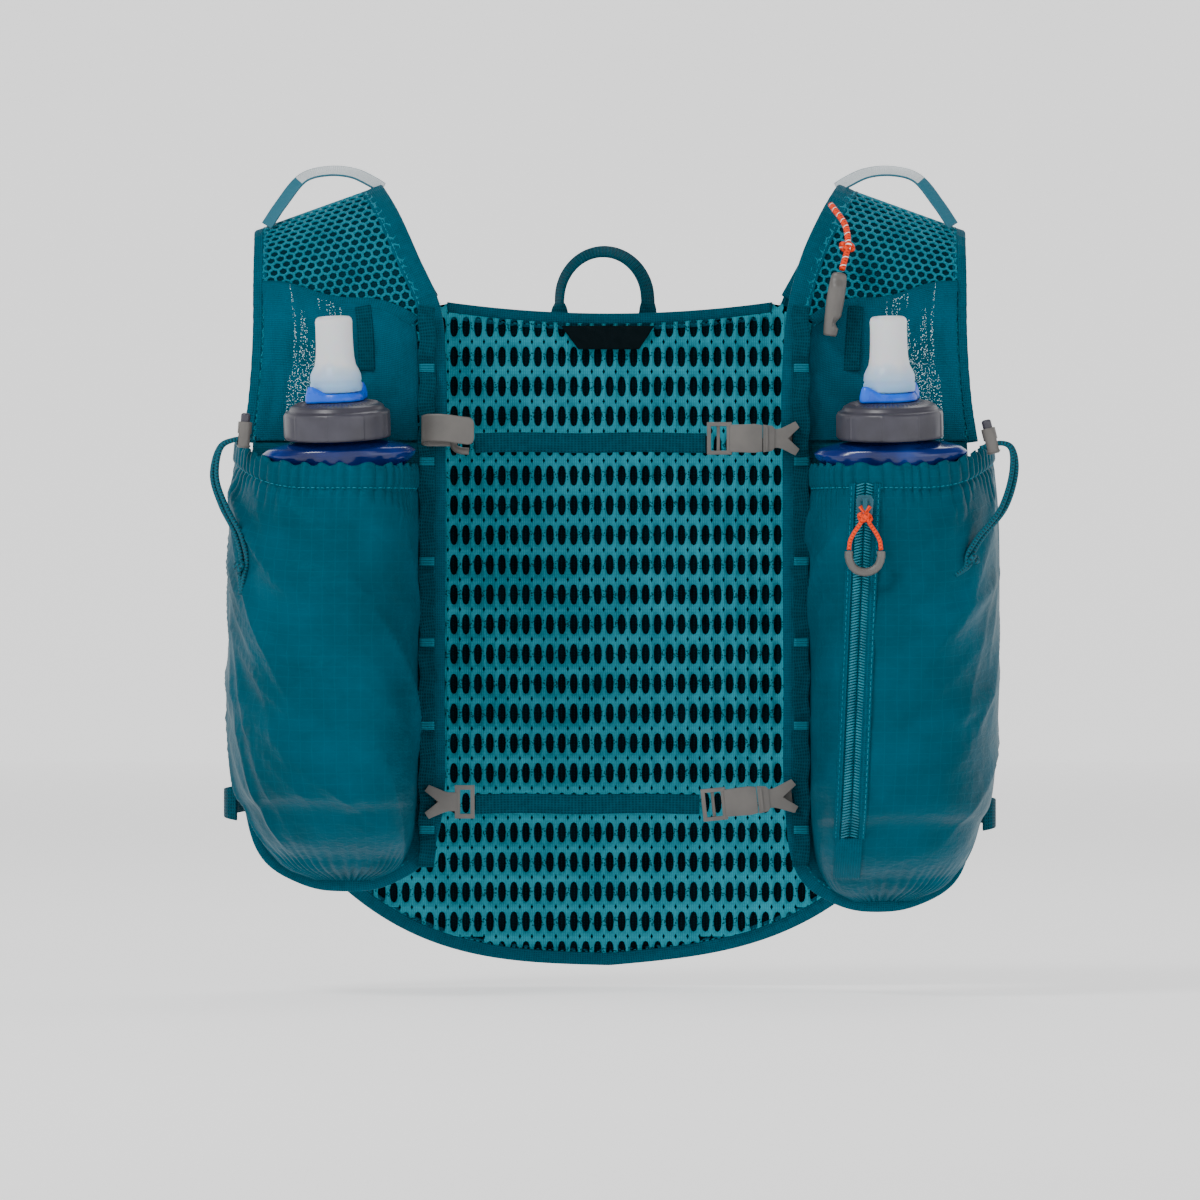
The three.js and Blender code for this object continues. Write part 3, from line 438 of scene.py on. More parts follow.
def finish_mesh(name, shape, look, body="vest", replaces=()):
    """Makes a piece from its shape: points and cloth coordinates in millimetres, and faces between them."""
    verts, faces, uv = shape
    mesh = bpy.data.meshes.new(name)
    mesh.from_pydata((np.asarray(verts, float) * MM).tolist(), [], faces)
    layer = mesh.uv_layers.new(name="cloth")
    loops = np.empty(len(mesh.loops), int)
    mesh.loops.foreach_get("vertex_index", loops)
    layer.data.foreach_set("uv", (np.asarray(uv, float)[loops] * MM).ravel())
    mesh.validate()
    mesh.polygons.foreach_set("use_smooth", [True] * len(mesh.polygons))
    piece = bpy.data.objects.new(name, mesh)
    declare(piece, look, body, replaces)
    return piece


def unit(vectors):
    return vectors / np.maximum(np.linalg.norm(vectors, axis=-1, keepdims=True), 1e-9)


def normals(grid):
    return unit(np.cross(np.gradient(grid, axis=0), np.gradient(grid, axis=1)))


def distances(path):
    """How far each point of a path is along it."""
    return np.concatenate([[0], np.cumsum(np.linalg.norm(np.diff(path, axis=0), axis=-1))])


def at_distances(values, steps, wanted):
    return np.stack([np.interp(wanted, steps, values[:, k]) for k in range(3)], -1)


def shares(nu, nv):
    """Shares from 0 to 1 along a grid's two directions."""
    return np.linspace(0, 1, nu)[:, None], np.linspace(0, 1, nv)[None]


def lengths(grid):
    """Cloth coordinates in millimetres: along the first axis, then along the second."""
    along = np.linalg.norm(np.diff(grid, axis=0), axis=-1).mean(1)
    across = np.linalg.norm(np.diff(grid, axis=1), axis=-1).mean(0)
    u = np.concatenate([[0], np.cumsum(along)])
    v = np.concatenate([[0], np.cumsum(across)])
    return np.stack(np.meshgrid(u, v, indexing="ij"), -1)


def grid_faces(nu, nv, start=0, flip=False, close_u=False):
    faces = []
    for i in range(nu if close_u else nu - 1):
        for j in range(nv - 1):
            a, b = start + i * nv + j, start + ((i + 1) % nu) * nv + j
            quad = (a, b, b + 1, a + 1)
            faces.append(quad[::-1] if flip else quad)
    return faces


def slab(grid, thick, offset=0.0):
    """Points, faces and cloth coordinates of a closed sheet along a grid of points."""
    nu, nv = grid.shape[:2]
    n = normals(grid)
    top, low = grid + n * (offset + thick / 2), grid + n * (offset - thick / 2)
    verts = np.concatenate([top.reshape(-1, 3), low.reshape(-1, 3)])
    faces = grid_faces(nu, nv) + grid_faces(nu, nv, nu * nv, flip=True)
    rim = [i * nv for i in range(nu)] + [(nu - 1) * nv + j for j in range(1, nv)]
    rim += [i * nv + nv - 1 for i in range(nu - 2, -1, -1)] + [j for j in range(nv - 2, 0, -1)]
    shift = nu * nv
    for a, b in zip(rim, rim[1:] + rim[:1]):
        faces.append((b, a, a + shift, b + shift))
    uv = lengths(grid).reshape(-1, 2)
    return verts, faces, np.concatenate([uv, uv])


def cloth_piece(name, grid, thick, look, body="vest", offset=0.0, replaces=(), held=None):
    """One layer of cloth; held, when given, only makes it work out the sheet's area from the cloth itself,
    and that area is not used.
    """
    piece = finish_mesh(name, slab(grid, thick, offset), look, body, replaces)
    if held:
        a, b = grid[1:, 1:] - grid[:-1, :-1], grid[1:, :-1] - grid[:-1, 1:]
        area = np.linalg.norm(np.cross(a, b), axis=2).sum() / 2 * MM ** 2
    return piece


def path_frames(path, up):
    """Tangents, and two directions square to the path; up is a direction or one for each point."""
    tangent = unit(np.gradient(path, axis=0))
    side = unit(np.cross(tangent, np.broadcast_to(np.asarray(up, float), path.shape)))
    return tangent, side, np.cross(side, tangent)


def tube(rings, along, across):
    """The shape between rings of points, capped at both ends."""
    count, sides = rings.shape[:2]
    faces = []
    for i in range(count - 1):
        for j in range(sides):
            k = (j + 1) % sides
            faces.append((i * sides + j, i * sides + k, (i + 1) * sides + k, (i + 1) * sides + j))
    faces += [tuple(range(sides))[::-1], tuple((count - 1) * sides + j for j in range(sides))]
    uv = np.stack(np.meshgrid(along, across, indexing="ij"), -1).reshape(-1, 2)
    return rings.reshape(-1, 3), faces, uv


def sweep(path, section, up):
    """A closed section (side, up pairs) carried along a path."""
    path, section = np.asarray(path, float), np.asarray(section, float)
    _, side, over = path_frames(path, up)
    rings = path[:, None] + section[None, :, :1] * side[:, None] + section[None, :, 1:] * over[:, None]
    return tube(rings, distances(path), distances(section))


def flat_section(width, thick, edge=0.45):
    """A flat tape's section with rounded edges."""
    w, t = width / 2, thick / 2
    e = min(edge, t)
    return [(-w, 0), (-w + e * 0.4, t * 0.8), (-w + e * 1.5, t), (0, t * 1.02), (w - e * 1.5, t),
            (w - e * 0.4, t * 0.8), (w, 0), (w - e * 0.4, -t * 0.8), (w - e * 1.5, -t), (-w + e * 1.5, -t),
            (-w + e * 0.4, -t * 0.8)]


def round_section(radius, sides=10):
    turns = [2 * math.pi * k / sides for k in range(sides)]
    return [(radius * math.cos(a), radius * math.sin(a)) for a in turns]


def merge(parts):
    """Joins shapes into one."""
    verts, faces, uv, start = [], [], [], 0
    for v, f, t in parts:
        verts.append(np.asarray(v, float))
        uv.append(np.asarray(t, float))
        faces += [tuple(i + start for i in face) for face in f]
        start += len(v)
    return np.concatenate(verts), faces, np.concatenate(uv)


def stitches(path, up, pitch=3.0, length=2.1, radius=0.28):
    """Short raised threads along a path, with gaps, as a sewn seam shows them."""
    path = np.asarray(path, float)
    steps = distances(path)
    up = np.broadcast_to(np.asarray(up, float), path.shape)
    parts = []
    for start in np.arange(0.5, steps[-1] - length, pitch):
        s = np.linspace(start, start + length, 4)
        points, lift = at_distances(path, steps, s), at_distances(up, steps, s)
        points = points + lift * (np.array([-0.25, 0.1, 0.1, -0.25])[:, None])
        parts.append(sweep(points, round_section(radius, 5), lift))
    return merge(parts)


def tube_path(points, count):
    return spline(points, np.linspace(0, 1, count))


# ---- the vest's surfaces, as in the CAD model ---------------------------------------------------------


def shoulder_rails(side):
    inner = [(side["inner"], CHEST_Y, PANEL_TOP_Z), (side["inner"] + 0.5, -61.5, -95),
             (side["inner"] + 3, -57, -62), (93, -45, -36), (103, -27, -14), (111, -2, -1), (106, 24, -12),
             (95, 43, -34), (84, 52.5, -54)]
    outer = [(178, PANEL_OUTER_Y, PANEL_TOP_Z), (175, -37, -105), (173, -34, -75), (173, -28, -50),
             (173, -16, -32), (173, 4, -23), (170, 22, -34), (164, 33, -62), (156, 36.5, -100)]
    return inner, outer


def panel_rails(side):
    bottom = PANEL_BOTTOM_Z - side["drop"]
    x = side["inner"]
    inner = [(x, CHEST_Y, PANEL_TOP_Z), (x, CHEST_Y, -185), (x + 0.5, CHEST_Y, -245), (x + 1, CHEST_Y, -300),
             (x + 8, CHEST_Y + 1, bottom + 15), (x + 33, CHEST_Y + 3, bottom)]
    outer = [(178, PANEL_OUTER_Y, PANEL_TOP_Z), (181, PANEL_OUTER_Y, -185), (180, PANEL_OUTER_Y, -245),
             (177, PANEL_OUTER_Y - 1, -300), (168, PANEL_OUTER_Y - 4, bottom + 14),
             (142, PANEL_OUTER_Y - 12, bottom)]
    return inner, outer


def cloth_between(rails, side, t, b):
    """Points of the cloth at t along its rails and b across them."""
    t, b = np.broadcast_arrays(np.asarray(t, float), np.asarray(b, float))
    p, q = spline(rails[0], t), spline(rails[1], t)
    x = side["sign"] * lerp(p[..., 0], q[..., 0], b)
    y = lerp(p[..., 1], q[..., 1], np.clip(b, 0, 1) ** 1.5)
    return np.stack([x, y, lerp(p[..., 2], q[..., 2], b)], -1)


def inward_share(rails, t, from_inner, distance):
    p, q = spline(rails[0], t), spline(rails[1], t)
    across = q - p
    width = np.linalg.norm(across, axis=-1, keepdims=True)
    rail = rails[0 if from_inner else 1]
    along = spline(rail, np.clip(t + 1e-3, 0, 1)) - spline(rail, np.clip(t - 1e-3, 0, 1))
    along /= np.linalg.norm(along, axis=-1, keepdims=True)
    sine = np.maximum(np.linalg.norm(np.cross(along, across / width), axis=-1), 0.35)
    share = distance / sine / width[..., 0]
    return share if from_inner else 1 - share


def inset_cloth(rails, side, inset, t0, t1, nu, nv):
    t = np.linspace(t0, t1, nu)
    low, high = inward_share(rails, t, True, inset), inward_share(rails, t, False, inset)
    v = np.linspace(0, 1, nv)
    return cloth_between(rails, side, t[:, None], low[:, None] + (high - low)[:, None] * v)


def back_top(x):
    a = np.abs(x)
    collar = BACK_TOP_Z + COLLAR_DIP * (a / NECK_HALF_WIDTH) ** 2
    out = (a - NECK_HALF_WIDTH) / (BACK_HALF_WIDTH - NECK_HALF_WIDTH)
    return np.where(a < NECK_HALF_WIDTH, collar, lerp(BACK_TOP_Z + COLLAR_DIP, SHOULDER_END_Z, out))


def back_bottom(x):
    s = np.abs(x) / BACK_HALF_WIDTH
    return HEM_Z + np.where(x > 0, 14, 4) * s + 62 * s ** 3.2


def slope_of(edge, x):
    return (edge(x + 1) - edge(x - 1)) / 2


def spacer_limits(x):
    """The lowest and highest places of the back's face, inside its bindings."""
    low = back_bottom(x) + (EDGE_INSET + 1.2) * np.hypot(1, slope_of(back_bottom, x))
    return low, back_top(x) - np.where(np.abs(x) < 80, EDGE_INSET, 1.2)


def back_y(x, z):
    lumbar = -7 * np.sin(np.clip((BACK_TOP_Z - z) / 320, 0, 1) * math.pi * 0.9) ** 2
    return BACK_Y - BACK_CURVE * (x / BACK_HALF_WIDTH) ** 2 + lumbar


def back_grid(nu, nv):
    half = BACK_HALF_WIDTH - EDGE_INSET
    x = np.linspace(-half, half, nu)[:, None]
    z = lerp(*spacer_limits(x), np.linspace(0, 1, nv)[None])
    return np.stack([np.broadcast_to(x, z.shape), back_y(x, z), z], -1)


# ---- cords --------------------------------------------------------------------------------------------


def cord_shape(path, radius, sides, up):
    """A round cord; its first cloth coordinate turns round it, for the braid."""
    verts, faces, uv = sweep(path, round_section(radius, sides), up)
    turn = np.tile(np.arange(sides) / sides * 1000, len(path))
    return verts, faces, np.stack([turn, uv[:, 0]], -1)


def cord_piece(name, points, radius, look, body, replaces, **facts):
    """A free cord as a mesh tube along its route."""
    path = tube_path(points, 8 * len(points))
    piece = finish_mesh(name, cord_shape(path, radius, 12, (0.3, -1, 0.2)), look, body, replaces)
    tuple(np.array(points[0]) * MM)


def knot(name, centre, radius, look, body):
    """An overhand knot: a trefoil of cord pulled tight."""
    t = np.linspace(0, 2 * math.pi, 60)
    a = np.stack([np.sin(t) + 2 * np.sin(2 * t), np.cos(t) - 2 * np.cos(2 * t), -1.4 * np.sin(3 * t)], -1)
    path = a * radius * 0.42 + np.asarray(centre, float)
    verts, faces, uv = sweep(path, round_section(radius * 0.62, 8), (0.1, -1, 0.3))
    return finish_mesh(name, (verts, faces, np.stack([uv[:, 1] * 120, uv[:, 0]], -1)), look, body)


CORD_R = 1.25
DRAWCORDS = {
    "left": {
        "outer": [(169, -96, -124.4), (180, -96, -125.2), (186, -96, -128), (190, -96, -141.6),
                  (186, -98, -156), (179, -99, -170), (176, -99, -182), (176.5, -99, -189),
                  (176, -100, -199)],
        "knot": (176, -99, -186),
    },
    "right": {
        "outer": [(176.6, -97, -129.2), (186.9, -97, -126.7), (191.6, -97, -128.4), (194, -98, -138),
                  (189, -102, -157), (178, -106, -171), (173, -109, -179), (171, -110, -185),
                  (164, -115, -190)],
        "knot": (172, -109.5, -182),
    },
}
WHISTLE_CORD = [(107, -33.5, -10.5), (108.6, -38.5, -13), (113.5, -48, -21), (114.5, -56.5, -31),
                (111.6, -63.4, -42.6)]


def drawcords():
    for name, facts in DRAWCORDS.items():
        sign = SIDES[name]["sign"]
        route = [(sign * x, y, z) for x, y, z in facts["outer"]]
        centre = (sign * facts["knot"][0],) + facts["knot"][1:]
        tied = knot(f"drawcord_knot_{name}", centre, 2.3, "teal_cord", "vest")
        past_lock = np.clip((np.arange(len(route)) - 1.8) / (len(route) - 2.8), 0, 1)
        apart = 3.2 * np.sin(past_lock * np.pi) ** 0.7
        second = [(x - sign * gap, y - 0.8 * gap, z - 0.4 * gap) for (x, y, z), gap in zip(route, apart)]
        for strand, points, length in (("outer", route, 0.09), ("inner", second, 0.088)):
            cord_piece(f"drawcord_{strand}_{name}", points, CORD_R, "teal_cord", "vest", [f"drawcord_{name}"],
                       length=length, far_end="knot", with_pieces=[tied])


drawcords()


# ---- back panel ---------------------------------------------------------------------------------------


def netting(at, centres, cell, hole, corners, depth, clamp, thick_dir):
    """Cloth full of holes. at maps flat places to points, and each cell's frame runs from hole to rim.

    centres are the cells' middles; cell and hole are functions of an angle that give the outline of a cell
    and of its hole; clamp keeps a flat place inside the cloth's outline."""
    angles = 2 * np.pi * np.arange(corners) / corners
    outer = clamp((centres[:, None] + cell(angles)[None]).reshape(-1, 2)).reshape(-1, corners, 2)
    inner = clamp((centres[:, None] + hole(angles)[None]).reshape(-1, 2)).reshape(-1, corners, 2)
    places = np.concatenate([outer, inner, inner], 1).reshape(-1, 2)
    count = 3 * corners
    points, push = at(places).reshape(-1, count, 3), thick_dir(places).reshape(-1, count, 3)
    points[:, 2 * corners:] += push[:, 2 * corners:] * depth
    points[:, corners:2 * corners] += push[:, corners:2 * corners] * 0.25
    faces = []
    for k in range(len(centres)):
        base = k * count
        for i in range(corners):
            j = (i + 1) % corners
            a, b = base + i, base + j
            faces.append((a, b, b + corners, a + corners))
            faces.append((a + corners, b + corners, b + 2 * corners, a + 2 * corners))
    return points.reshape(-1, 3), faces, places


def spacer_mesh():
    """The back panel's face: columns of tall oval holes, over a dark inner net."""
    half = BACK_HALF_WIDTH - EDGE_INSET
    pitch_x, pitch_z = SPACER_CELL
    columns = int(half // pitch_x)
    xs = np.arange(-columns, columns + 1) * pitch_x
    zs = np.arange(HEM_Z + pitch_z / 2, BACK_TOP_Z + 10, pitch_z)
    centres = np.stack(np.meshgrid(xs, zs, indexing="ij"), -1).reshape(-1, 2)
    low, high = spacer_limits(centres[:, 0])
    centres = centres[(centres[:, 1] > low - 4) & (centres[:, 1] < high + 4)]

    def clamp(places):
        x = np.clip(places[:, 0], -half, half)
        low, high = spacer_limits(x)
        return np.stack([x, np.clip(places[:, 1], low, high)], -1)

    def box(a):
        """A cell's outline, short of its corners, where four cells leave a small dark spindle."""
        c, s = np.cos(a), np.sin(a)
        wide = np.where(np.abs(c) > np.abs(s) - 1e-6, 1, np.where(np.abs(c) > 0.1, 0.78, 0))
        tall = np.where(np.abs(s) > np.abs(c) + 1e-6, 1, np.where(np.abs(s) > 0.1, 0.8, 0))
        return np.stack([np.sign(c) * wide * pitch_x / 2, np.sign(s) * tall * pitch_z / 2], -1)

    def oval(a):
        c, s = np.cos(a), np.sin(a)
        return np.stack([SPACER_HOLE[0] * np.sign(c) * np.abs(c) ** 0.75,
                         SPACER_HOLE[1] * np.sign(s) * np.abs(s) ** 0.95], -1)

    def front(places):
        x, z = places[:, 0], places[:, 1]
        ribs = 0.25 * np.cos(2 * np.pi * x / pitch_x)
        return np.stack([x, back_y(x, z) - 1.6 + ribs, z], -1)

    into = lambda places: np.tile([0.0, 1.0, 0.0], (len(places), 1))
    shape = netting(front, centres, box, oval, 12, 1.5, clamp, into)
    finish_mesh("spacer_face", shape, "rib", replaces=["back_spacer_mesh"])
    grid = back_grid(48, 40)
    cloth_piece("spacer_inner_net", grid, 1.6, "deep_net", offset=-0.9, replaces=["back_spacer_mesh"])


def stash_pocket():
    """The stretch bag behind the back, with a gathered top edge and its hem."""
    half_width, foot_z, mouth_z, mouth_dip = 118, -368, -150, 18
    u, v = shares(90, 60)
    angle = u * np.pi
    c, s = -np.cos(angle), np.sin(angle) ** 0.8
    x = c * half_width + 0 * v
    low = np.maximum(foot_z, back_bottom(x) + EDGE_INSET + 2)
    z = lerp(low, mouth_z + mouth_dip * c * c, v)
    bag = np.sin(np.minimum(v * 1.4, 1) * np.pi / 2) ** 0.7
    pleats = 0.8 * np.sin(u * 95) * smoothstep(v, 0.55, 1) * (1 - smoothstep(v, 0.965, 1))
    reach = lerp(1.7, 23, bag) + pleats + 1.2 * np.sin(6 * v + 9 * u) * np.sin(np.pi * v)
    grid = np.stack([x, back_y(x, z) + 4.6 + reach * s, z], -1)
    cloth_piece("stash_pocket", grid, 0.8, "ripstop", replaces=["back_stash_pocket"], held="gathered")
    shape = sweep(grid[2:-2, -1] - np.array([0, 0, 3.4]), flat_section(7.5, 1.6, 0.7), (0, 1, 0.05))
    finish_mesh("stash_pocket_hem", shape, "tape", replaces=["back_stash_pocket"])


def back():
    spacer_mesh()
    grid = back_grid(60, 50)
    x, z = grid[..., 0], grid[..., 2]
    grid[..., 1] += 0.35 * np.sin(x / 9) * np.sin(z / 23)
    cloth_piece("back_shell", grid, 1.2, "knit", offset=-3.0, replaces=["back_shell"], held="stretched")
    stash_pocket()


# ---- bindings -----------------------------------------------------------------------------------------


def binding(name, path, inward, replaces, width=7.4, thick=2.6):
    """Folded tape over a cloth's edge, with a sewn line near its inner side.

    path runs along the edge; inward points into the cloth, square to the path."""
    path = np.asarray(path, float)
    inward = np.broadcast_to(np.asarray(inward, float), path.shape)
    tangent, _, _ = path_frames(path, inward)
    face = unit(np.cross(tangent, inward))
    if face[len(face) // 2, 1] > 0:
        face = -face
    w, t = width, thick / 2
    upper = [(0.25, t * 0.7), (0.9, t), (w * 0.55, t * 0.98), (w - 1.5, t * 0.72), (w - 0.9, t * 0.88),
             (w, t * 0.8), (w, 0.35 * t)]
    fold = [(0.0, 0.0)] + upper + [(a, -b) for a, b in upper[::-1]]
    rings = path[:, None] + np.array([a for a, _ in fold])[None, :, None] * inward[:, None]
    rings = rings + np.array([b for _, b in fold])[None, :, None] * face[:, None]
    along = distances(path)
    ripple = 0.16 * np.sin(along * 1.9) + 0.1 * np.sin(along * 0.83 + 1)
    rings = rings + (face * ripple[:, None])[:, None]
    finish_mesh(name, tube(rings, along, [abs(b) + a for a, b in fold]), "tape", replaces=replaces)
    line = path + inward * (w - 1.5) + face * (t * 0.72)
    thread_piece(name + "_stitches", line, face, replaces)


def thread_piece(name, line, up, replaces, pitch=3.0):
    finish_mesh(name, stitches(line, up, pitch), "thread", replaces=replaces)


def rail_edge(rails, side, from_inner, t0, t1, count):
    """A line along one edge of the cloth, and the direction into the cloth at each point."""
    t = np.linspace(t0, t1, count)
    edge = cloth_between(rails, side, t, inward_share(rails, t, from_inner, 0.2))
    inside = cloth_between(rails, side, t, inward_share(rails, t, from_inner, 7.6))
    tangent = unit(np.gradient(edge, axis=0))
    inward = inside - edge
    inward -= tangent * (inward * tangent).sum(1, keepdims=True)
    return edge, unit(inward)


def panel_outline(rails, side, count=190):
    """The open outline round a front panel: down its inner edge, along its foot and up its outer edge."""
    down = cloth_between(rails, side, np.linspace(0, 1, 80), 0)
    foot = cloth_between(rails, side, 1, np.linspace(0, 1, 12))[1:-1]
    up = cloth_between(rails, side, np.linspace(1, 0.03, 80), 1)
    line = np.concatenate([down, foot, up])
    steps = distances(line)
    line = at_distances(line, steps, np.linspace(0, steps[-1], count))
    for _ in range(14):
        line[1:-1] = (line[:-2] + 2 * line[1:-1] + line[2:]) / 4
    tangent = np.gradient(line, axis=0)
    into = np.cross([0.0, -1.0, 0.0], tangent)
    into *= np.sign((into * (line.mean(0) - line)).sum())
    return line, unit(into)


def bindings():
    for name, side in SIDES.items():
        rails, panel = shoulder_rails(side), panel_rails(side)
        edge, inward = rail_edge(rails, side, True, 0, YOKE_END, 110)
        binding(f"neck_edge_binding_{name}", edge - inward, inward, [f"neck_edge_binding_{name}"], 11, 3.4)
        edge, inward = rail_edge(rails, side, False, 0, YOKE_END, 100)
        binding(f"arm_binding_{name}", edge, inward, [f"arm_binding_{name}"])
        line, into = panel_outline(panel, side)
        binding(f"panel_binding_{name}", line, into, [f"panel_binding_{name}"])
    x = np.linspace(-BACK_HALF_WIDTH + 0.8, BACK_HALF_WIDTH - 0.8, 160)
    slope = slope_of(back_bottom, x)
    z = back_bottom(x) + 0.2
    inward = np.stack([-slope, 0 * x, np.ones_like(x)], -1) / np.hypot(1, slope)[:, None]
    binding("hem_binding", np.stack([x, back_y(x, z) + 1, z], -1), inward, ["hem_binding"], 8.2)
    for name, side in SIDES.items():
        sign, edge_x = side["sign"], BACK_HALF_WIDTH - 0.6
        z = np.linspace(back_top(edge_x) - 0.6, back_bottom(edge_x) + 1, 90)
        line = np.stack([sign * edge_x + 0 * z, back_y(edge_x, z) + 1, z], -1)
        binding(f"back_side_binding_{name}", line, (-sign, 0, 0), ["back_shell"], 7.0)
        shoulder_seam(name, side)
    x = np.linspace(-80, 80, 80)
    z = back_top(x) - 0.2
    slope = slope_of(back_top, x)
    inward = np.stack([slope, 0 * x, -np.ones_like(x)], -1) / np.hypot(1, slope)[:, None]
    binding("neck_binding", np.stack([x, back_y(x, z) + 1, z], -1), inward, ["neck_binding"], 8.2)


def shoulder_seam(name, side):
    """The tape that joins a yoke's rear end to the back panel's shoulder edge."""
    b = np.linspace(0.0, 1.0, 40)
    upper = cloth_between(shoulder_rails(side), side, 0.965, b) + np.array([0, 2.4, 0])
    x = np.linspace(83, 158, 40)
    z = back_top(x) - 5
    lower = np.stack([side["sign"] * x, back_y(x, z) + 5.2, z], -1)
    grid = lerp(upper[:, None], lower[:, None], np.linspace(0, 1, 7)[None, :, None])
    cloth_piece(f"shoulder_seam_{name}", grid, 1.4, "tape", replaces=[f"shoulder_yoke_{name}"])
    line = grid[1:-1, 5] + np.array([0, 0.9, 0])
    thread_piece(f"shoulder_seam_stitches_{name}", line, (0, 1, 0), [f"shoulder_yoke_{name}"])


# ---- shoulders and chest ------------------------------------------------------------------------------

NET_CELL = 4.7


def shoulder_net(name, side):
    """The yoke: a glossy net of six-sided holes over a darker layer."""
    rails = shoulder_rails(side)
    table = np.linspace(0.004, YOKE_END, 240)
    middle = cloth_between(rails, side, table, 0.5)
    run = distances(middle)
    across = cloth_between(rails, side, table, 1) - cloth_between(rails, side, table, 0)
    width = np.linalg.norm(across, axis=1)
    low = inward_share(rails, table, True, EDGE_INSET)
    high = inward_share(rails, table, False, EDGE_INSET)

    def clamp(places):
        u = np.clip(places[:, 0], 0, run[-1])
        t = np.interp(u, run, table)
        w = np.interp(t, table, width)
        b = np.clip(0.5 + places[:, 1] / w, np.interp(t, table, low), np.interp(t, table, high))
        return np.stack([u, (b - 0.5) * w], -1)

    def base(places):
        t = np.interp(places[:, 0], run, table)
        return t, 0.5 + places[:, 1] / np.interp(t, table, width)

    def outward(places):
        t, b = base(places)
        e = 2e-3
        du = cloth_between(rails, side, t + e, b) - cloth_between(rails, side, t - e, b)
        db = cloth_between(rails, side, t, b + e) - cloth_between(rails, side, t, b - e)
        return unit(np.cross(db, du) * side["sign"])

    rows = np.arange(0, run[-1] + NET_CELL, NET_CELL * 0.866)
    offsets = np.arange(-60, 60, NET_CELL)
    centres = np.array([(u, v + (NET_CELL / 2 if i % 2 else 0)) for i, u in enumerate(rows) for v in offsets])
    kept = clamp(centres)
    centres = centres[np.linalg.norm(kept - centres, axis=1) < NET_CELL * 0.45]
    hexagon = lambda a: np.stack([np.cos(a), np.sin(a)], -1) * NET_CELL / 1.732
    hole = lambda a: np.stack([np.cos(a), np.sin(a)], -1) * NET_CELL * 0.43
    on_cloth = lambda places: cloth_between(rails, side, *base(places)) + outward(places) * 1.5
    inward = lambda places: -outward(places)
    node = f"shoulder_yoke_{name}"
    shape = netting(on_cloth, centres, hexagon, hole, 6, 1.0, clamp, inward)
    finish_mesh(f"yoke_net_{name}", shape, "net", replaces=[node])
    grid = inset_cloth(rails, side, EDGE_INSET, 0, YOKE_END, 90, 22)
    cloth_piece(f"yoke_lining_{name}", grid, 2.0, "net_back", offset=0.45 * side["sign"], replaces=[node],
                held="stretched")


def chest_pocket(name, side):
    """The flat knit pocket behind the flask's neck: pleated down its length, with a sloping top hem."""
    rails = shoulder_rails(side)
    u, v = shares(70, 150)
    top = lerp(0.24, 0.375, v ** 0.8) + 0.008 * np.sin(v * 9)
    t = lerp(0.0, top, u)
    b = lerp(0.13, 0.93, v) + 0.004 * np.sin(u * 8 + v * 5)
    grid = cloth_between(rails, side, t, b)
    lift = normals(grid)
    lift *= -np.sign(lift[..., 1].mean())
    rise = np.sin(np.pi * np.clip(u * 1.1, 0, 1)) ** 0.5
    pleats = 0.8 * np.abs(np.sin(v * 30 + 1.2 * np.sin(u * 3))) ** 1.5 * rise
    belly = 1.2 * np.sin(np.pi * v) * np.sin(np.pi * u)
    clear_of_whistle = smoothstep(v, 0.3, 0.6) if name == "right" else 1
    grid = grid + lift * (2.0 + (pleats + belly) * clear_of_whistle)[..., None]
    node = f"stretch_pocket_{name}"
    cloth_piece(f"chest_pocket_{name}", grid, 0.7, "pleated", replaces=[node], held="stretched")
    hem = grid[-1]
    shape = sweep(hem - np.array([0, 0.4, 2.2]), flat_section(6, 1.4, 0.6), lift[-1])
    finish_mesh(f"chest_pocket_hem_{name}", shape, "tape", replaces=[node])
    line = hem + np.array([0, -1.2, -4.4])
    thread_piece(f"chest_pocket_hem_stitches_{name}", line, lift[-1], [node], pitch=2.6)
    tab = grid[36:-4, 48 if name == "left" else 42] + np.array([0, -0.9, 0])
    shape = sweep(tab, flat_section(8, 1.0), FRONT)
    finish_mesh(f"chest_pocket_tab_{name}", shape, "webbing", replaces=[node])


def front_panel(name, side):
    grid = inset_cloth(panel_rails(side), side, EDGE_INSET + 0.9, 0, 0.82, 60, 30)
    u, v = shares(60, 30)
    grid[..., 1] += 0.3 * np.sin(u * 25) * np.sin(v * 3.1)
    cloth_piece(f"front_panel_{name}", grid, 3.0, "knit", replaces=[f"front_panel_{name}"], held="stretched")


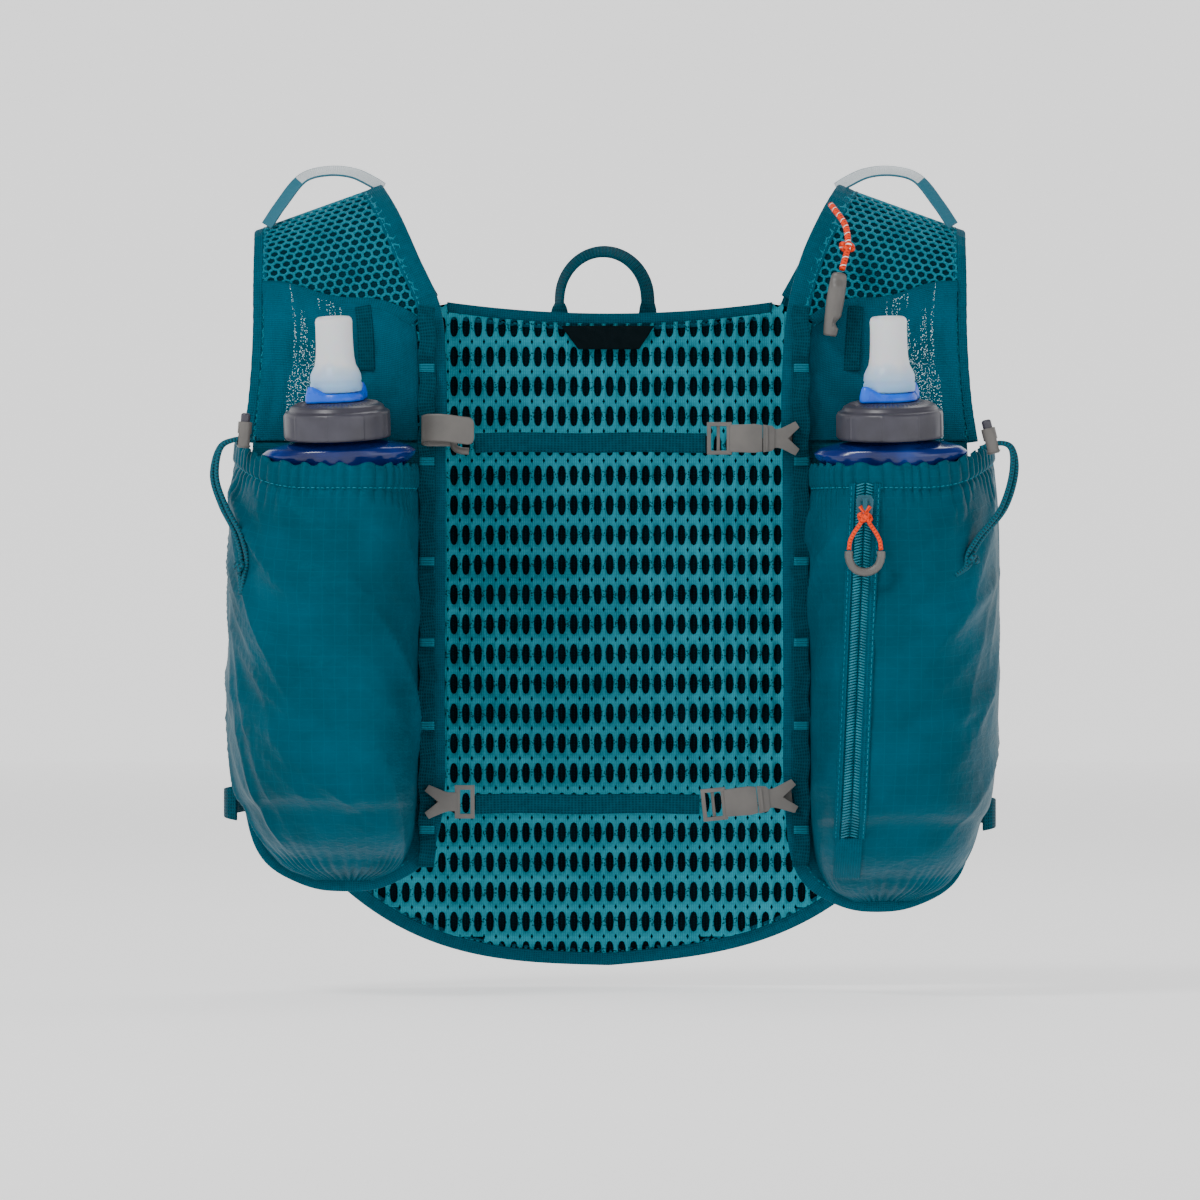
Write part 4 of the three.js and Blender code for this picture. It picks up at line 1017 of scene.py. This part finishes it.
def ladder(name, side):
    """Webbing in short arches between bar-tacks, ribbed across."""
    x = side["sign"] * (side["inner"] + sum(LADDER_X) / 2)
    z = np.arange(-60.0, -330.5, -0.9)
    z = np.append(z, -330)
    gap = np.min(np.abs(z[:, None] - np.array(TACKS)[None]), axis=1)
    y = lerp(-64.6, -67.1, smoothstep(gap, 1.5, 6.5))
    wobble = 0.5 * np.sin(z * 0.31)
    path = np.stack([x + wobble, y, z], -1)
    span = np.linspace(-4, 4, 9)
    section = [(a, 0.6) for a in span] + [(a, -0.6) for a in span[::-1]]
    verts, faces, uv = sweep(path, section, FRONT)
    node = f"ladder_webbing_{name}"
    ribs = (np.arange(len(path)) % 2 * 0.35)[:, None] * np.array([0.0, -1.0, 0.0])
    verts = verts.reshape(len(path), -1, 3)
    verts[:, :9] += ribs[:, None]
    finish_mesh(node, (verts.reshape(-1, 3), faces, uv), "webbing", replaces=[node])
    parts = []
    for tack in TACKS[1:-1]:
        for dz in np.linspace(-1.6, 1.6, 5):
            line = np.array([[x + dx, -65.6, tack + dz] for dx in np.linspace(-3.6, 3.6, 6)])
            parts.append(sweep(line, round_section(0.32, 5), FRONT))
    finish_mesh(f"ladder_tacks_{name}", merge(parts), "thread", replaces=[node])


def chest():
    for name, side in SIDES.items():
        shoulder_net(name, side)
        chest_pocket(name, side)
        front_panel(name, side)
        ladder(name, side)


# ---- flask pockets ------------------------------------------------------------------------------------


def pocket_rows(side):
    po, inner = side["pocket_outer"], side["inner"] + LADDER_X[1] + 0.5
    rows = [(1, inner, po - 3), (0.72, inner, po + 1), (0.4, inner, po), (0.16, inner + 1, po - 9),
            (0.05, inner + 7, po - 22), (0, inner + 21, po - 41)]
    depths = [(1, 65, 0), (0.72, POCKET_DEPTH, 0), (0.4, POCKET_DEPTH, 0), (0.16, 50, 0), (0.05, 22, 0),
              (0, 1.6, 0)]
    return rows, depths


def panel_y(side, x, z):
    rails = panel_rails(side)
    t = np.linspace(0, 1, 400)
    heights = spline(rails[0], t)[:, 2]
    at = np.interp(-z, -heights, t)
    p, q = spline(rails[0], at), spline(rails[1], at)
    return lerp(p[..., 1], q[..., 1], np.clip((x - p[..., 0]) / (q[..., 0] - p[..., 0]), 0, 1) ** 1.5)


def pocket_height(side, share, offset):
    """How high the bag's cloth is, at a share of its rise and an offset from its middle."""
    rim = POCKET_RIM_Z + RIM_RISE * np.clip(offset / RIM_REACH, 0, 1) ** 3
    return lerp(PANEL_BOTTOM_Z - side["drop"] + EDGE_INSET, rim, share)


def pocket_grid(side, u, t):
    """The bag's cloth at u round its front from seam to seam, and t down from its rim to its foot."""
    rows, depths = pocket_rows(side)
    u, t = np.asarray(u, float)[:, None], np.asarray(t, float)[None]
    cosine = np.cos(u * np.pi)
    c = -np.sign(cosine) * np.abs(cosine) ** POCKET_ROUND + 0 * t
    s = np.sin(u * np.pi) ** POCKET_ROUND + 0 * t
    row, deep = spline(rows, t), spline(depths, t)[..., 1]
    offset = c * (row[..., 2] - row[..., 1]) / 2
    x = (row[..., 1] + row[..., 2]) / 2 + offset
    z = pocket_height(side, row[..., 0], offset)
    return np.stack([side["sign"] * x, panel_y(side, x, z) - POCKET_CLEAR - s * deep, z], -1)


def bag_folds(around, below, above, rng):
    """Soft folds in millimetres: long ones that climb towards the inner edge, and broad slack between."""
    height = 1.1 * np.sin(around / 19 + below / 60) * np.sin(below / 41 + 1)
    for _ in range(11):
        lean, length = rng.uniform(0.25, 1.0), rng.uniform(26, 60)
        middle = rng.uniform(20, 170), rng.uniform(25, 170)
        warp = 7 * np.sin(around / 31 + rng.uniform(0, 6)) + 6 * np.sin(below / 27 + rng.uniform(0, 6))
        crease = 1 - np.abs(np.sin(np.pi * (around * lean + below * (1 - lean * 0.4) + warp) / length))
        near = np.exp(-((around - middle[0]) / 48) ** 2 - ((below - middle[1]) / 58) ** 2)
        height = height + rng.uniform(1.6, 3.4) * crease ** 2.6 * near
    height = height * smoothstep(above, 2, 30) * smoothstep(below, 8, 30)
    pleats = np.abs(np.sin(around * 0.55 + 1.3 * np.sin(around * 0.13))) ** 0.7
    reach = 1 - smoothstep(below, 11 + 5 * np.sin(around * 0.21), 27 + 8 * np.sin(around * 0.17))
    height = height + (1.5 * pleats - 0.7) * reach
    tunnel = smoothstep(below, 0.3, 3) * (1 - smoothstep(below, 9, 11.5))
    stitched = np.exp(-((below - 12) / 0.9) ** 2)
    foot = (1 - smoothstep(above, 3, 22)) * 0.45 * np.sin(around * 0.8 + 2 * np.sin(around * 0.1))
    return height + 0.9 * tunnel - 0.8 * stitched + foot - 0.8


def flask_pocket(name, side, seed):
    """The bag: gathered on a cord along its rim, slack and folded below, stitched flat at its foot."""
    node = f"flask_pocket_{name}"
    u = np.linspace(0, 1, 260)
    t = np.concatenate([np.linspace(0, 0.05, 18), np.linspace(0.05, 1, 120)[1:]])
    grid = pocket_grid(side, u, t)
    around = distances(grid[:, 40])[:, None] + 0 * t
    below = grid[:, :1, 2] - grid[..., 2]
    above = grid[..., 2] - grid[:, -1:, 2]
    folds = bag_folds(around, below, above, np.random.default_rng(seed))
    if name == "right":
        at_zip = np.exp(-((grid[..., 0] - zip_x(grid[..., 2])) / 10) ** 2)
        folds = folds * (1 - at_zip * smoothstep(below, 9, 14))
    n = normals(grid)
    n *= -np.sign(n[130, 40, 1])
    seam = smoothstep(np.minimum(u, 1 - u)[:, None], 0.0, 0.02)
    grid = grid + n * (folds * seam)[..., None]
    rim_wave = 0.9 * np.sin(around * 0.55 + 1.3 * np.sin(around * 0.13)) * (1 - smoothstep(below, 0, 6))
    grid[..., 2] += rim_wave * seam
    cloth_piece(f"pocket_cloth_{name}", grid, 0.6, "ripstop", replaces=[node], held="gathered")
    row = int(np.argmin(np.abs(below[130] - 11.4)))
    line, up = grid[5:-5, row], n[5:-5, row]
    thread_piece(f"pocket_hem_stitches_{name}", line + up * 0.35, up, [node], pitch=2.8)


def pockets():
    flask_pocket("left", SIDES["left"], 4)
    flask_pocket("right", SIDES["right"], 11)


# ---- loops, straps and flanks -------------------------------------------------------------------------


def strap_along(name, line, width, thick, look, up, count=60):
    """A flat tape through points; width may be one number or one for each end."""
    path = tube_path(line, count)
    ends = np.broadcast_to(np.asarray(width, float), (2,))
    _, side, over = path_frames(path, up)
    widths = np.linspace(ends[0], ends[1], count)
    base = np.array(flat_section(1, thick / ends.mean(), 0.45 / ends.mean()))
    rings = path[:, None] + (base[None, :, :1] * side[:, None]) * widths[:, None, None]
    rings = rings + base[None, :, 1:] * over[:, None] * ends.mean()
    shape = tube(rings, distances(path), (base[:, 0] + 0.5) * ends.mean())
    finish_mesh(name, shape, look, replaces=[name])


def loops_and_flanks():
    for name, side in SIDES.items():
        sign = side["sign"]
        line = [(sign * x, y, z) for x, y, z in ((167, -5, -19.5), (160, -5, -9), (149, -4, 4),
                                                 (137, -3, 7.2), (125, -2, 6.2), (116, -1, 2.2),
                                                 (110.5, 0, -1.2))]
        strap_along(f"shoulder_loop_{name}", line, 8, 1.1, "ribbon", (0.3 * sign, -0.8, 1))
        z = -300 - side["drop"] / 2
        line = [(sign * x, y, zz) for x, y, zz in ((181, -26, z), (185.5, -21, z), (187, -8, z), (183, 12, z),
                                                   (172, 28, z + 1), (163, 33, z + 2))]
        strap_along(f"side_strap_{name}", line, (17, 8), 1.2, "webbing", (sign, 0, 0))
        side_panel(name, side)


def side_panel(name, side):
    u, v = shares(40, 50)
    z = lerp(-306.0, -190.0, v)
    front = np.stack(np.broadcast_arrays(178.3 - 0.028 * (-188 - z), PANEL_OUTER_Y + BINDING_R + 0.3, z), -1)
    rear_x = BACK_HALF_WIDTH - EDGE_INSET + 1.2
    rear = np.stack(np.broadcast_arrays(rear_x, back_y(BACK_HALF_WIDTH, z), z + 8 * (v - 0.5)), -1)
    grid = front + (rear - front) * u[..., None]
    grid[..., 0] += 8 * np.sin(np.pi * u) + 0.5 * np.sin(v * 26 + 4 * u) * np.sin(np.pi * u)
    grid[..., 0] *= side["sign"]
    cloth_piece(f"side_panel_{name}", grid, 1.4, "knit", replaces=[f"side_panel_{name}"], held="stretched")


def haul_loop():
    """The carrying loop: one webbing strip in an arch, turned partly edge-on."""
    middle, half, top, rise, y = -3, 21.8, -29.6, 23.8, BACK_Y + 5.2
    line = [(middle + half, y, -62), (middle + half, y, -57)]
    line += [(middle + half * math.cos(a), y, top - rise + rise * math.sin(a))
             for a in np.linspace(0, math.pi, 13)]
    line += [(middle - half, y, -57), (middle - half, y, -62)]
    path = tube_path(line, 120)
    outward = unit(path - np.array([middle, y, BACK_TOP_Z]))
    turned = np.interp(np.linspace(0, 1, 120), [0, 0.1, 0.5, 0.9, 1], [5, 48, 55, 66, 8])
    twist = np.radians(turned)[:, None]
    up = np.cos(twist) * np.array([0.0, -1.0, 0.0]) + np.sin(twist) * outward
    finish_mesh("haul_loop", sweep(path, flat_section(9.2, 1.4), up), "webbing", replaces=["haul_loop"])


def collar_label():
    """A blank woven patch, its edges turned in."""
    u, v = shares(40, 16)
    x = lerp(lerp(-15.5, 14.5, u), lerp(-24, 22, u), v)
    z = lerp(-78, -66.5, v) + 0 * u
    puff = 0.35 * (np.sin(np.pi * u) * np.sin(np.pi * v)) ** 0.3
    y = BACK_Y - 4.3 - puff - 7 * (x / BACK_HALF_WIDTH) ** 2
    cloth_piece("collar_label", np.stack([x, y, z], -1), 0.7, "label", replaces=["collar_label"])


# ---- flasks -------------------------------------------------------------------------------------------


def placed(lean, origin, tip=0):
    """Moves points from a piece's own frame: leant about +Y, then tipped about +X, in degrees."""
    a, b = math.radians(lean), math.radians(tip)
    about_y = np.array([[math.cos(a), 0, math.sin(a)], [0, 1, 0], [-math.sin(a), 0, math.cos(a)]])
    about_x = np.array([[1, 0, 0], [0, math.cos(b), -math.sin(b)], [0, math.sin(b), math.cos(b)]])
    return lambda p: np.asarray(p) @ (about_x @ about_y).T + np.asarray(origin, float)


def turned_grid(profile, sides, reshaped=None):
    """Points of a body of revolution from (radius, height) pairs; reshaped(grid, angles) may change them."""
    profile = np.asarray(profile, float)
    a = 2 * np.pi * np.arange(sides) / sides
    ring = np.stack([np.cos(a), np.sin(a)], -1)
    grid = np.empty((sides, len(profile), 3))
    grid[..., :2] = ring[:, None] * profile[None, :, :1]
    grid[..., 2] = profile[None, :, 1]
    return reshaped(grid, a) if reshaped else grid


def turned_piece(name, grid, place, look, body, replaces, ring=False):
    sides, rows = grid.shape[:2]
    faces = grid_faces(sides, rows, close_u=True)
    if not ring:
        faces.append(tuple(i * rows for i in range(sides))[::-1])
        faces.append(tuple(i * rows + rows - 1 for i in range(sides)))
    uv = lengths(np.concatenate([grid, grid[:1]]))[:sides].reshape(-1, 2)
    finish_mesh(name, (place(grid.reshape(-1, 3)), faces, uv), look, body, replaces)


def dense(profile, step=0.8):
    """Adds points along a profile's long runs, so shading and displacement stay even."""
    out = [profile[0]]
    for a, b in zip(profile, profile[1:]):
        n = max(1, int(math.dist(a, b) / step))
        out += [(lerp(a[0], b[0], k / n), lerp(a[1], b[1], k / n)) for k in range(1, n + 1)]
    return out


def flask_film(name, place, body, seed):
    """The film bag: a soft bulge above the rim with sealed side seams, flatter and creased below it."""
    keys = np.array([(-167.5, 4, 2), (-166, 16, 8), (-158, 25, 13), (-140, 28, 17), (-100, 30, 21),
                     (-22, 30.2, 23.5), (-13, 31.5, 23.5), (-9, 35.6, 23.5), (-6.5, 37, 23.5), (-4, 34, 22.8),
                     (-1.8, 26, 19.5), (-0.4, 17, 16), (0, 14.2, 14.2), (3, 14.2, 14.2)])
    z = np.concatenate([np.linspace(-167.5, -22, 60), np.linspace(-21, -1, 36), [0, 1.5, 3]])
    wide, deep = np.interp(z, keys[:, 0], keys[:, 1]), np.interp(z, keys[:, 0], keys[:, 2])
    sides = 96
    a = 2 * np.pi * np.arange(sides) / sides
    rng = np.random.default_rng(seed)
    film = np.zeros((sides, len(z)))
    for _ in range(8):
        n, k, phase = rng.integers(2, 9), rng.uniform(0.02, 0.12), rng.uniform(0, 6.3)
        film += rng.uniform(0.1, 0.3) * np.sin(n * a[:, None] + k * z[None] + phase)
    film *= smoothstep(-z, 2, 10)[None]
    grid = np.stack([np.cos(a)[:, None] * (wide + film - 0.4), np.sin(a)[:, None] * (deep + film - 0.4),
                     np.broadcast_to(z, (sides, len(z)))], -1)
    turned_piece(f"flask_film_{name}", grid, place, "film", body, [f"flask_body_{name}"])


def flask_cap(name, place, body):
    """The screw cap: rounded shoulder, upright grip ribs and fine ticks round the top."""
    profile = dense([(14.8, 3.4), (14.8, 0.8), (15.2, 0.4), (24.7, 0.4), (25.1, 0.7), (25.4, 1.6),
                     (25.4, 11.6), (25.2, 12.8), (24.6, 13.5), (23.4, 13.8), (22.9, 14.5), (22.2, 15.9),
                     (20.8, 16.7), (16.5, 17.6), (14.5, 18), (9.2, 18.0), (9.1, 17.4), (0.5, 17.4)], 0.7)
    heights = np.array([h for _, h in profile])
    radii = np.array([r for r, _ in profile])

    def shape(grid, a):
        ribs = np.exp(-((((a / (2 * np.pi) * 9) % 1) - 0.5) / 0.025) ** 2)
        skirt = smoothstep(heights, 0.8, 1.6) * (1 - smoothstep(heights, 11.6, 12.6)) * (radii > 20)
        ticks = ((a / (2 * np.pi) * 60) % 1 < 0.4)
        crown = smoothstep(radii, 16.0, 16.6) * (1 - smoothstep(radii, 19.6, 20.2)) * (heights > 14)
        scale = 1 + (0.45 * ribs[:, None] * skirt[None]) / 25
        grid[..., :2] *= scale[..., None]
        grid[..., 2] += 0.5 * ticks[:, None] * crown[None]
        return grid

    grid = turned_grid(profile, 288, shape)
    turned_piece(f"flask_cap_{name}", grid, place, "cap", body, [f"flask_cap_{name}"])


def valve_lever(name, place, body):
    """The shut-off ring round the valve's foot, with two opposed fins that rise from it."""
    low = 18.3
    profile = dense([(9.3, low), (13.0, low), (13.4, low + 0.5), (13.3, low + 1.8), (12.7, low + 3.2),
                     (12.1, low + 4.0), (9.3, low + 4.0), (9.3, low)], 0.5)

    def fins(grid, a):
        turn = (np.degrees(a)[:, None] - 40) % 180 - 90
        lift = np.exp(-((90 - np.abs(turn)) / 17) ** 2)
        outer = np.hypot(grid[..., 0], grid[..., 1]) > 10.5
        grid[..., :2] *= (1 + 0.36 * lift * outer)[..., None]
        grid[..., 2] += (grid[..., 2] - low) * 0.95 * lift * outer
        return grid

    grid = turned_grid(profile, 144, fins)
    turned_piece(f"valve_lever_{name}", grid, place, "lever", body, [f"valve_lever_{name}"], ring=True)


def bite_valve(name, place, body):
    """The silicone bite valve: flared foot with a ridge, waisted sleeve and a slit in its dished tip."""
    low, top = 18.3, 58.5
    profile = dense([(0.4, low), (8.7, low), (8.9, low + 4.2), (12.2, low + 4.6), (12.5, low + 6),
                     (12.5, low + 8), (12.0, low + 9), (12.35, low + 10), (12.1, low + 12.6),
                     (11.2, low + 14.6), (9.9, low + 17), (9.2, low + 21), (8.9, low + 27), (8.8, top - 5),
                     (8.9, top - 2.4), (8.5, top - 0.9), (7.6, top - 0.1), (6.4, top - 0.2),
                     (5.4, top - 0.9), (4.2, top - 1.6), (0.4, top - 1.8)], 0.7)
    grid = turned_grid(profile, 72)
    slit = np.exp(-(grid[..., 1] / 0.5) ** 2) * (np.abs(grid[..., 0]) < 3.8) * (grid[..., 2] > top - 3)
    grid[..., 2] -= 0.7 * slit
    turned_piece(f"bite_valve_{name}", grid, place, "silicone", body, [f"bite_valve_{name}"])


def flasks():
    for seed, (name, side) in enumerate(SIDES.items()):
        place = placed(side["lean"], (side["sign"] * side["flask_x"], FLASK_Y, FLASK_TOP_Z), FLASK_TIP)
        flask_film(name, place, f"flask_{name}", seed + 3)
        flask_cap(name, place, f"cap_{name}")
        bite_valve(name, place, f"cap_{name}")
        valve_lever(name, place, f"lever_{name}")


# ---- moulded hardware ---------------------------------------------------------------------------------


def moulded(node, look, body, bevel=0.35):
    """A moulding's refined copy of its CAD shape, with rounded edges."""
    piece = bpy.data.objects.new(node + "_moulding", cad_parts[node].data.copy())
    piece.data.materials.clear()
    weld = piece.modifiers.new("weld", "WELD")
    weld.merge_threshold = 1e-5
    planar = piece.modifiers.new("planar", "DECIMATE")
    planar.decimate_type = "DISSOLVE"
    planar.angle_limit = math.radians(1.0)
    edge = piece.modifiers.new("round", "BEVEL")
    edge.width = bevel * MM
    edge.segments = 3
    edge.limit_method = "ANGLE"
    edge.angle_limit = math.radians(28)
    edge.use_clamp_overlap = True
    for polygon in piece.data.polygons:
        polygon.use_smooth = True
    declare(piece, look, body, [node])


def tube_clip():
    """The drinking tube's clip: a band bent into an open ring, with a tab in front and a hook below."""
    line = [(-65.3, -79.6), (-70, -80.4), (-76, -80.9), (-82, -80.4), (-87, -78.2), (-89.7, -74.6),
            (-88, -71), (-83, -69.6), (-78, -69.4), (-73.5, -69.8)]
    path = tube_path([(x, y, 0) for x, y in line], 90)
    back = smoothstep(path[:, 1], -79, -70)
    middle = -119.0 - 2.2 * back - 1.6 * smoothstep(path[:, 0], -82, -66) * (1 - back)
    end = np.minimum(path[:, 0].max() - path[:, 0], 3.0) * (1 - back) + 3.0 * back
    half = 6.6 - 3.0 + np.sqrt(np.maximum(9.0 - (3.0 - end) ** 2, 0))
    across = np.linspace(-1, 1, 15)
    z = middle[:, None] + half[:, None] * across
    grid = np.stack(np.broadcast_arrays(path[:, :1], path[:, 1:2], z), -1)
    cloth_piece("tube_clip_band", grid, 1.7, "grey", "upper_strap", replaces=["upper_tube_clip"])
    hook = tube_path([(-75, -69.8, -122), (-75.2, -69.8, -126.5), (-74.4, -70.2, -128.6),
                      (-71.5, -70.8, -129.9), (-67.8, -71, -130.2)], 40)
    shape = sweep(hook, flat_section(3.4, 2.6, 0.9), FRONT)
    finish_mesh("tube_clip_hook", shape, "grey", "upper_strap", ["upper_tube_clip"])


def hardware():
    tube_clip()
    for node, body in (("upper_buckle_female", "upper_strap"), ("upper_buckle_male", "upper_male"),
                       ("lower_anchor_clip", "lower_strap"), ("lower_buckle_female", "lower_strap"),
                       ("lower_buckle_male", "lower_male")):
        moulded(node, "grey", body, 0.7)
    for name in SIDES:
        moulded(f"cord_lock_barrel_{name}", "grey", f"lock_{name}", 0.3)
        moulded(f"cord_lock_button_{name}", "cap", f"button_{name}", 0.3)


def sternum_straps():
    for name, x0, x1, z in (("upper", -64.8, 46.1, UPPER_STRAP_Z - 1), ("lower", -64.7, 43, LOWER_STRAP_Z)):
        count = 120
        x = np.linspace(x0, x1, count)
        path = np.stack([x, np.full(count, STRAP_Y), z + 0.25 * np.sin(x * 0.11)], -1)
        shape = sweep(path, flat_section(9.5, 1.5), FRONT)
        node = f"{name}_strap_webbing"
        strap = finish_mesh(f"{name}_strap_tape", shape, "webbing", f"{name}_strap", [node])
        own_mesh(strap)


# ---- zip ----------------------------------------------------------------------------------------------

ZIP_TOP, ZIP_FOOT, ZIP_WIDTH = (121, -151), (114, -316), 15
SLIDER_Z = -157


def zip_x(z):
    return lerp(ZIP_TOP[0], ZIP_FOOT[0], (z - ZIP_TOP[1]) / (ZIP_FOOT[1] - ZIP_TOP[1]))


def bag_face(x, z):
    """The right bag's front at a place across and up it."""
    side = SIDES["right"]
    rows, depths = pocket_rows(side)
    x, z = np.broadcast_arrays(np.asarray(x, float), np.asarray(z, float))
    low, high = np.zeros(x.shape), np.ones(x.shape)
    for _ in range(24):
        t = (low + high) / 2
        row, deep = spline(rows, t), spline(depths, t)[..., 1]
        half = (row[..., 2] - row[..., 1]) / 2
        offset = np.clip((x - (row[..., 1] + row[..., 2]) / 2) / half, -1, 1) * half
        over = pocket_height(side, row[..., 0], offset) > z
        low, high = np.where(over, t, low), np.where(over, high, t)
    c = np.abs(offset / half)
    s = (1 - c ** (2 / POCKET_ROUND)) ** (POCKET_ROUND / 2)
    return panel_y(side, x, z) - POCKET_CLEAR - s * deep


def zip_strip(width, off, z0, z1, nu, nv):
    z = np.linspace(z0, z1, nv)[None]
    across = np.linspace(-0.5, 0.5, nu)[:, None]
    x = zip_x(z) + width * across
    y = bag_face(x, z + 0 * x) - off
    return np.stack([x, y, z + 0 * x], -1)


def zipper():
    top = ZIP_TOP[1] + 5
    tape = zip_strip(ZIP_WIDTH, 1.1, ZIP_FOOT[1], top, 29, 120)
    middle = np.abs(np.linspace(-1, 1, 29))[:, None]
    tape[..., 1] -= 1.1 * np.exp(-((middle - 0.68) / 0.1) ** 2)
    tape[..., 1] += 0.7 * (middle < 0.58)
    cloth_piece("zip_placket", tape, 0.8, "tape", replaces=["zipper_tape"])
    for k, across in enumerate((2, -3)):
        line = tape[across] + np.array([0, -0.5, 0])
        thread_piece(f"zip_placket_stitches_{k}", line, FRONT, ["zipper_tape"], pitch=2.7)
    z = np.arange(ZIP_FOOT[1] + 2.5, top, 1.35)
    x = zip_x(z)
    y = bag_face(x, z) - 1.2
    parts = []
    reach = np.linspace(0.45, 4.1, 4)
    for k in range(len(z)):
        for hand in (-1, 1):
            tooth = np.stack([x[k] + hand * reach, y[k] - 0.5 * np.sin(reach * 0.7), z[k] - 0.3 * reach], -1)
            parts.append(sweep(tooth, round_section(0.5, 6), FRONT))
    finish_mesh("zip_teeth", merge(parts), "coil", replaces=["zipper_coil"])
    patch = zip_strip(13, 1.6, ZIP_FOOT[1] - 19, ZIP_FOOT[1] + 1, 12, 16)
    cloth_piece("zip_end_patch", patch, 0.9, "tape", replaces=["zipper_tape"])
    moulded("zipper_slider", "slider", "zip_slider", 0.3)
    moulded("zipper_pull_grip", "grey", "zip_pull", 0.1)
    zip_pull()


def zip_pull():
    """The pull's cord: a drop-shaped loop from the slider's knot to the grip, and its two cut ends."""
    low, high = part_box("zipper_pull_cord")
    y = (low[1] + high[1]) / 2 / MM
    x0 = zip_x(SLIDER_Z)
    points = [(0, -0.6, -5), (-1.2, -0.6, -6.5), (-2.6, -0.4, -9), (-5.0, -0.3, -12.5), (-7.0, -0.3, -16.5),
              (-7.6, -0.3, -21)]
    left = [(x0 + x, y + dy, SLIDER_Z + z) for x, dy, z in points]
    right = [(x0 - x, y + dy, SLIDER_Z + z) for x, dy, z in points[1:]]
    path = tube_path(left[::-1] + right, 90)
    shape = cord_shape(path, 1.0, 10, FRONT)
    finish_mesh("zip_pull_loop", shape, "plain_orange", "zip_pull", ["zipper_pull_cord"])
    knot("zip_pull_knot", (x0, y - 0.6, SLIDER_Z - 5.5), 2.1, "plain_orange", "zip_pull")
    stubs = []
    for hand in (-1, 1):
        line = tube_path([(x0 - hand * 1.2, y - 0.9, SLIDER_Z - 5),
                          (x0 + hand * 0.6, y - 1.3, SLIDER_Z - 2.6),
                          (x0 + hand * 2.4, y - 1.3, SLIDER_Z - 0.2)], 14)
        stubs.append(sweep(line, round_section(0.95, 10), FRONT))
    finish_mesh("zip_pull_ends", merge(stubs), "plain_orange", "zip_pull", ["zipper_pull_cord"])


# ---- whistle ------------------------------------------------------------------------------------------


def whistle():
    place = placed(9, (110.5, -63.4, -44))
    length = 31
    profile = dense([(1.7, -length + 10), (1.7, -length + 0.4), (2.2, -length), (2.9, -length),
                     (3.3, -length + 1), (3.6, -length + 4), (4.1, -length * 0.6), (4.3, -length * 0.45),
                     (4.25, -8), (4.0, -4), (3.6, -1.6), (2.8, -0.5), (1.2, -0.1), (0.3, 0)], 0.6)
    grid = turned_grid(profile, 48)
    z = grid[..., 2]
    grid[..., 1] *= 1 - 0.45 * smoothstep(z, -7.5, -3)
    notch = (z > -length + 4) & (z < -length + 9.5) & (grid[..., 0] > 0.8)
    depth = (1 - np.abs((z + length - 6.5) / 3.2).clip(0, 1)) * notch
    grid[..., 0] -= 2.0 * depth
    turned_piece("whistle_body", grid, place, "grey", "whistle", ["whistle"])
    tied = knot("whistle_knot", (114.2, -56, -31.5), 2.2, "orange", "whistle")
    cord_piece("whistle_cord_loop", WHISTLE_CORD, 1.5, "orange", "whistle", ["whistle_cord"], length=0.046,
               far_end="tool", with_pieces=[bpy.data.objects["whistle_body"], tied])


# ---- build --------------------------------------------------------------------------------------------

back()
bindings()
chest()
pockets()
loops_and_flanks()
haul_loop()
collar_label()
flasks()
hardware()
sternum_straps()
zipper()
whistle()

# ---- studio -------------------------------------------------------------------------------------------


STUDIO_RADIUS, STUDIO_HEIGHT, FLOOR_Z = 7.0, 4.5, -0.392  # metres
LIGHTS = (  # name, place, size, watts
    ("key", (-1.2, -1.5, 1.9), 0.8, 50),
    ("fill", (1.6, -1.8, 0.3), 1.4, 8),
    ("rim", (0.4, 1.4, 1.9), 1.2, 20),
)


def studio():
    world = bpy.data.worlds.new("studio")
    bpy.context.scene.world = world
    world.use_nodes = True
    world.node_tree.nodes["Background"].inputs[0].default_value = (1, 1, 1, 1)
    world.node_tree.nodes["Background"].inputs[1].default_value = 0.2
    pale = Look("pale_floor", 0.9, Specular_IOR_Level=0.1, Emission_Strength=0.95)
    pale.shader.inputs["Emission Color"].default_value = (1, 1, 1, 1)
    pale.colour(pale.ramp(pale.noise(pale.place(uv=False), 3), [(0, "b4b4b4"), (1, "bcbcbc")]))
    bpy.ops.mesh.primitive_plane_add(size=2 * STUDIO_RADIUS, location=(0, 0, FLOOR_Z))
    floor = bpy.context.object
    floor.name = "floor"
    bpy.ops.mesh.primitive_cylinder_add(vertices=96, radius=STUDIO_RADIUS, depth=STUDIO_HEIGHT,
                                        end_fill_type="NOTHING",
                                        location=(0, 0, FLOOR_Z + STUDIO_HEIGHT / 2))
    wall = bpy.context.object
    wall.name = "backdrop"
    for stage in (floor, wall):
        stage.data.materials.append(pale.material)
    for name, place, size, power in LIGHTS:
        light = bpy.data.lights.new(name, "AREA")
        light.size = size
        light.energy = power
        lamp = bpy.data.objects.new(name, light)
        bpy.context.scene.collection.objects.link(lamp)
        lamp.location = place
        lamp.rotation_euler = (Vector((0, 0, -0.2)) - Vector(place)).to_track_quat("-Z", "Y").to_euler()


studio()
